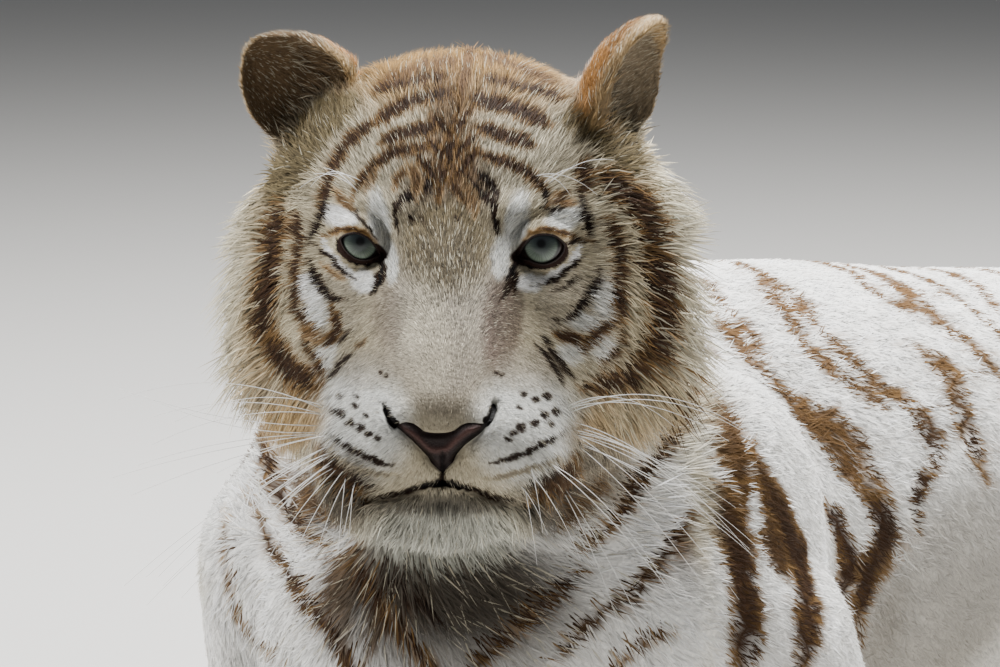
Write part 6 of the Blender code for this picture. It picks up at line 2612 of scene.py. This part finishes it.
@dataclass
class TigerEye:
    """One eyeball with its iris, and the bare dark rim of its lids."""

    head: HeadFrame
    side: int
    iris_radius: float = 12.6 * MM
    pupil_radius: float = 2.8 * MM
    cornea_rise: float = 1.0 * MM
    rim_thickness: float = 0.6 * MM
    rim_lift: float = 1.1 * MM
    rim_sides: int = 10
    segments: int = 96
    rings: int = 72
    gaze: dict[int, tuple[float, float]] = field(default_factory=lambda: {1: (-0.6, -0.8), -1: (0.2, -2.6)})

    def build(self) -> list[bpy.types.Object]:
        """Builds both pieces.

        Returns:
            The eyeball and the lid rim.
        """
        name = "left" if self.side > 0 else "right"
        socket = EyeSocket(self.head, self.side)
        eyeball = dress(self._ball(socket, name), f"eyeball_{name}", EYE_FINISH.build())
        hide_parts(f"eye_{name}")
        rim = dress(self._rim(socket, name), f"lid_rim_{name}", RIM_FINISH.build())
        return [eyeball, rim]

    def _ball(self, socket: EyeSocket, name: str) -> bpy.types.Mesh:
        """Makes the eyeball: an arc spun round the line of sight, with the iris painted in rings.

        Args:
            socket: The eye's socket.
            name: The eye's side.

        Returns:
            The mesh, coloured and in its place.
        """
        radius = socket.ball_radius
        shape = bmesh.new()
        angles = np.concatenate([np.linspace(0.0, 0.80, self.rings - 16), np.linspace(0.80, math.pi, 17)[1:]])
        profile = []
        for angle in angles:
            bulge = self.cornea_rise * math.exp(-((angle / 0.62) ** 4))
            reach = radius + bulge
            profile.append(shape.verts.new((reach * math.sin(angle), 0.0, reach * math.cos(angle))))
        edges = [shape.edges.new(pair) for pair in zip(profile, profile[1:])]
        bmesh.ops.spin(
            shape,
            geom=profile + edges,
            cent=(0, 0, 0),
            axis=(0, 0, 1),
            angle=math.tau,
            steps=self.segments,
            use_merge=True,
        )
        bmesh.ops.remove_doubles(shape, verts=shape.verts[:], dist=1e-6)
        bmesh.ops.recalc_face_normals(shape, faces=shape.faces[:])
        mesh = settled_mesh(shape, f"eyeball_{name}")
        local = points_of(mesh)
        tint_mesh(mesh, self._iris(local))
        across, up = (share * MM for share in self.gaze[self.side])
        toward = unit(np.array([across, up, math.sqrt(radius**2 - across**2 - up**2)]))
        right = unit(np.cross([0.0, 1.0, 0.0], toward))
        turned = local @ np.stack([right, np.cross(toward, right), toward])
        set_points(mesh, socket.solid(turned))
        mesh.shade_smooth()
        mesh.update()
        return mesh

    def _iris(self, local: np.ndarray) -> np.ndarray:
        """The colours of the eyeball round its line of sight, with a painted shadow of the upper lid over the
        iris's top.

        Args:
            local: The eyeball's points, seen along its line of sight.

        Returns:
            A light-linear colour for each point.
        """
        reach = np.hypot(local[:, 0], local[:, 1])
        reach = np.where(local[:, 2] > 0, reach, 1.0)
        angle = np.arctan2(local[:, 1], local[:, 0])
        fibres = np.sin(angle * 31 + 2 * np.sin(angle * 7)) * 0.5 + np.sin(angle * 57 + 1.3) * 0.5
        outer, inner = Hue.IRIS_EDGE.paint, Hue.IRIS_HEART.paint
        share = ramp(self.pupil_radius, self.iris_radius * 0.92, reach)[:, None]
        colours = inner * (1 - share) + outer * share
        colours = colours * (1 + 0.24 * fibres[:, None] * ramp(2 * MM, 6 * MM, reach)[:, None])
        # Painted shade and light: the top of the iris is darkened and its lower part lightened, and the top
        # tinged with a painted shadow of the upper lid.
        low = ramp(3 * MM, -9 * MM, local[:, 1])[:, None]
        colours = colours * (0.62 + 0.70 * low)
        tinge(colours, Hue.IRIS_SHADE.paint, ramp(-2.5 * MM, 6.0 * MM, local[:, 1]) * 0.85)
        tinge(colours, Hue.LIMBUS.paint, ramp(self.iris_radius - 2.0 * MM, self.iris_radius, reach))
        off_pupil = np.hypot(local[:, 0], local[:, 1] - 1.6 * MM)
        pupil = ramp(self.pupil_radius + 1.6 * MM, self.pupil_radius - 0.8 * MM, off_pupil)
        tinge(colours, Hue.PUPIL.paint, pupil)
        tinge(colours, Hue.EYE_WHITE.paint, ramp(self.iris_radius, self.iris_radius + 1.6 * MM, reach))
        return colours

    def _rim(self, socket: EyeSocket, name: str) -> bpy.types.Mesh:
        """Makes the lid rim: a closed tube that follows the lid edge over the eyeball.

        Args:
            socket: The eye's socket.
            name: The eye's side.

        Returns:
            The mesh, coloured and in its place.
        """
        shape = bmesh.new()
        shell = socket.ball_radius + self.rim_lift
        edge = socket.edge
        count = len(edge)
        ways = unit(np.roll(edge, -1, axis=0) - np.roll(edge, 1, axis=0))
        first, previous = None, None
        for index in list(range(count)) + [0]:
            if index == 0 and first is not None:
                bmesh.ops.bridge_loops(shape, edges=previous + first)
                break
            across, up = edge[index]
            depth = math.sqrt(max(shell**2 - across**2 - up**2, (3.5 * MM) ** 2))
            centre = np.array([across, up, depth])
            outward = unit(centre)
            way = np.array([ways[index][0], ways[index][1], 0.0])
            way = unit(way - outward * (way @ outward))
            beside = np.cross(way, outward)
            made = bmesh.ops.create_circle(shape, segments=self.rim_sides, radius=self.rim_thickness)["verts"]
            for vert in made:
                place = centre + beside * vert.co.x * 1.35 + outward * vert.co.y
                vert.co = Vector(socket.solid(place[None])[0])
            loop = list({one for vert in made for one in vert.link_edges})
            if previous is not None:
                bmesh.ops.bridge_loops(shape, edges=previous + loop)
            else:
                first = loop
            previous = loop
        bmesh.ops.recalc_face_normals(shape, faces=shape.faces[:])
        mesh = mesh_of(shape, f"lid_rim_{name}")
        tint_mesh(mesh, np.tile(Hue.LID_RIM.paint, (len(mesh.vertices), 1)))
        mesh.shade_smooth()
        return mesh


# ---- whiskers ----


@dataclass(frozen=True)
class Sweep:
    """One whisker on the face chart, in millimetres: its root, its tip and how far its middle bows upward."""

    root: tuple[float, float]
    tip: tuple[float, float]
    bow: float


# The whiskers of both pads and the longer hairs of the brows.
WHISKER_SWEEPS = tuple(
    Sweep(*row)
    for row in (
        ((-90, -116), (-239, -108), 14), ((-91, -119), (-213, -120), 9), ((-92, -127), (-243, -98), -9),
        ((-91, -133), (-243, -164), 5), ((-91, -134), (-230, -177), 4), ((-86, -141), (-235, -242), 8),
        ((-84, -147), (-219, -256), 10), ((-84, -147), (-207, -242), 7), ((-84, -152), (-194, -251), 7),
        ((-81, -156), (-142, -208), 5), ((-79, -156), (-138, -235), 8), ((-75, -161), (-81, -220), 5),
        ((-68, -166), (-77, -206), 3), ((84, -115), (228, -142), 27), ((84, -115), (201, -139), 15),
        ((90, -125), (218, -222), 14), ((88, -130), (206, -187), 10), ((88, -133), (232, -225), 12),
        ((92, -141), (216, -217), 9), ((90, -140), (200, -269), 12), ((72, -155), (190, -295), 14),
        ((81, -170), (148, -294), 8), ((58, -162), (94, -224), 6), ((50, -170), (70, -206), 4),
        ((60, 52), (106, 39), 9), ((66, 46), (98, 58), 6), ((-62, 48), (-108, 44), 9),
        ((-66, 42), (-98, 54), 5),
    )
)


@dataclass
class Whiskers:
    """The long stiff hairs of the lips and brows, as one piece of closed, tapering tubes."""

    head: HeadFrame
    skin: TigerSkin
    steps: int = 16
    sides: int = 5
    root_radius: float = 0.40 * MM
    tip_radius: float = 0.11 * MM
    root_depth: float = 2 * MM
    stand_off: float = 9 * MM
    trail: float = 0.42
    copies: int = 2
    root_spread_mm: float = 2.2
    tip_spread_mm: float = 13.0

    def build(self) -> bpy.types.Object:
        """Builds the whiskers.

        Returns:
            The piece.
        """
        draw = np.random.default_rng(SEED + 90)
        tree = self.skin.tree()
        rows = []
        for sweep in WHISKER_SWEEPS:
            for copy in range(self.copies):
                loose = 0.0 if copy == 0 else 1.0
                root = np.array(sweep.root) + draw.normal(size=2) * self.root_spread_mm * loose
                tip = np.array(sweep.tip) + draw.normal(size=2) * self.tip_spread_mm * loose
                tip = root + (tip - root) * (1.0 - 0.25 * draw.random() * loose)
                line = self._line(tree, root, tip, sweep.bow * draw.uniform(0.7, 1.2))
                if line is not None:
                    rows.append(line)
        points = np.array(rows)
        count, rings = points.shape[:2]
        ways = unit(np.gradient(points, axis=1))
        beside = unit(np.cross(ways, self.head.toward))
        above = np.cross(beside, ways)
        share = np.linspace(0.0, 1.0, rings)
        radius = self.root_radius + (self.tip_radius - self.root_radius) * share**0.8
        turn = np.arange(self.sides) * math.tau / self.sides
        ring = np.cos(turn)[:, None] * beside[:, :, None] + np.sin(turn)[:, None] * above[:, :, None]
        verts = points[:, :, None] + ring * radius[None, :, None, None]
        index = np.arange(count * rings * self.sides).reshape(count, rings, self.sides)
        after = np.roll(index, -1, axis=2)
        quads = np.stack([index[:, :-1], after[:, :-1], after[:, 1:], index[:, 1:]], axis=-1).reshape(-1, 4)
        faces = quads.tolist() + index[:, 0, ::-1].tolist() + index[:, -1].tolist()
        shape = bmesh.new()
        mesh = bpy.data.meshes.new("whiskers")
        mesh.from_pydata(verts.reshape(-1, 3).tolist(), [], faces)
        shape.from_mesh(mesh)
        bmesh.ops.recalc_face_normals(shape, faces=shape.faces[:])
        shape.to_mesh(mesh)
        shape.free()
        tint_mesh(mesh, np.tile(Hue.SNOW.paint, (len(mesh.vertices), 1)))
        mesh.shade_smooth()
        return dress(mesh, "whiskers", WHISKER_FINISH.build())

    def _line(self, tree: BVHTree, root: np.ndarray, tip: np.ndarray, bow: float) -> np.ndarray | None:
        """The middle line of one whisker, from just under the skin, trailing back toward its tip.

        Args:
            tree: The skin.
            root: The root on the face chart.
            tip: The tip on the face chart.
            bow: How far the middle bows upward, in millimetres.

        Returns:
            Rows of points, or None where the root misses the skin.
        """
        skin_depth = tree.ray_cast(*self.head.ray(*root))[3]
        if skin_depth is None:
            return None
        reach = np.linalg.norm(tip - root) * MM
        rows = []
        for share in np.linspace(0.0, 1.0, self.steps):
            across, up = root + (tip - root) * share
            up += 4 * bow * share * (1 - share)
            start, aim = self.head.ray(across, up)
            depth = skin_depth + self.root_depth - self.stand_off * ramp(0.0, 0.22, np.array(share))
            depth = depth + reach * self.trail * share**1.8
            rows.append(np.array(start + aim * float(depth)))
        return np.array(rows)


# ---- studio ----


@dataclass(frozen=True)
class Lamp:
    """One soft square light: its name, where it hangs, its width and its power in watts."""

    name: str
    place: tuple[float, float, float]
    size: float
    power: float


LAMPS = (
    Lamp("key_light", (-2.6, -1.7, 2.6), 1.6, 160),
    Lamp("top_light", (0.05, 1.0, 3.4), 2.2, 480),
    Lamp("fill_light", (2.8, -2.2, 1.4), 2.4, 2),
)


@dataclass
class Studio:
    """The pale floor, the soft lights and the camera."""

    head: HeadFrame
    lens: float = 150.0
    aim_across: float = 0.01200
    aim_down: float = -0.02028
    floor_size: float = 60.0
    lit_point: tuple[float, float, float] = (-0.15, -0.3, 0.35)
    room_colour: tuple[float, float, float] = (0.80, 0.84, 0.90)
    room_strength: float = 0.15

    def build(self) -> None:
        """Sets the stage."""
        self._floor()
        self._lights()
        self._camera()

    def _floor(self) -> None:
        """Lays the floor."""
        shape = bmesh.new()
        bmesh.ops.create_grid(shape, x_segments=1, y_segments=1, size=self.floor_size / 2)
        mesh = mesh_of(shape, "floor")
        floor = bpy.data.objects.new("floor", mesh)
        bpy.context.scene.collection.objects.link(floor)
        material = bpy.data.materials.new("pale_floor")
        material.use_nodes = True
        shader = material.node_tree.nodes["Principled BSDF"]
        shader.inputs["Base Color"].default_value = (*Hue.FLOOR.paint, 1.0)
        shader.inputs["Roughness"].default_value = 0.9
        mesh.materials.append(material)

    def _light(self, lamp: Lamp) -> None:
        """Hangs one light that faces the head.

        Args:
            lamp: The light.
        """
        source = bpy.data.lights.new(lamp.name, "AREA")
        source.shape = "SQUARE"
        source.size = lamp.size
        source.energy = lamp.power
        light = bpy.data.objects.new(lamp.name, source)
        light.location = lamp.place
        aim = Vector(self.lit_point) - Vector(lamp.place)
        light.rotation_mode = "QUATERNION"
        light.rotation_quaternion = aim.to_track_quat("-Z", "Y")
        bpy.context.scene.collection.objects.link(light)

    def _lights(self) -> None:
        """Hangs the lights and sets the soft surroundings."""
        for lamp in LAMPS:
            self._light(lamp)
        world = bpy.data.worlds.new("soft_room")
        world.use_nodes = True
        air = world.node_tree.nodes["Background"]
        air.inputs["Color"].default_value = (*self.room_colour, 1.0)
        air.inputs["Strength"].default_value = self.room_strength
        bpy.context.scene.world = world

    def _camera(self) -> None:
        """Sets up the camera, level with a crouching visitor's eyes."""
        head = self.head
        lens = bpy.data.cameras.new("camera")
        lens.lens = self.lens
        lens.sensor_width = 36.0
        lens.clip_end = 200.0
        camera = bpy.data.objects.new("camera", lens)
        camera.location = Vector(head.origin + head.toward * head.look_distance)
        aim = -head.toward + head.right * self.aim_across + head.rise * self.aim_down
        camera.rotation_mode = "QUATERNION"
        camera.rotation_quaternion = Vector(aim).to_track_quat("-Z", "Y")
        bpy.context.scene.collection.objects.link(camera)
        bpy.context.scene.camera = camera


# ---- main ----


def main() -> None:
    """Builds the model in order, reports each piece and notes its size."""
    logging.basicConfig(level=logging.INFO, format="%(message)s")
    head = HeadFrame()
    body = Body(head, SpineFrame().place(head), TailLine())
    skin = TigerSkin(body).build()
    markings = Markings(body)
    tint_mesh(skin.mesh, markings.paint(skin.surface))
    hide = dress(skin.mesh, "skin", SKIN_FINISH.build())
    NoseLeather(body, skin).build()
    Coat(body, skin, markings).build()
    eyes = ("eye_left", "eye_right")
    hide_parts(*[name for zone in ZONES for name in zone.value if name not in eyes])
    TigerEye(head, 1).build()
    TigerEye(head, -1).build()
    Whiskers(head, skin).build()
    Studio(head).build()


if __name__ == "__main__":
    main()
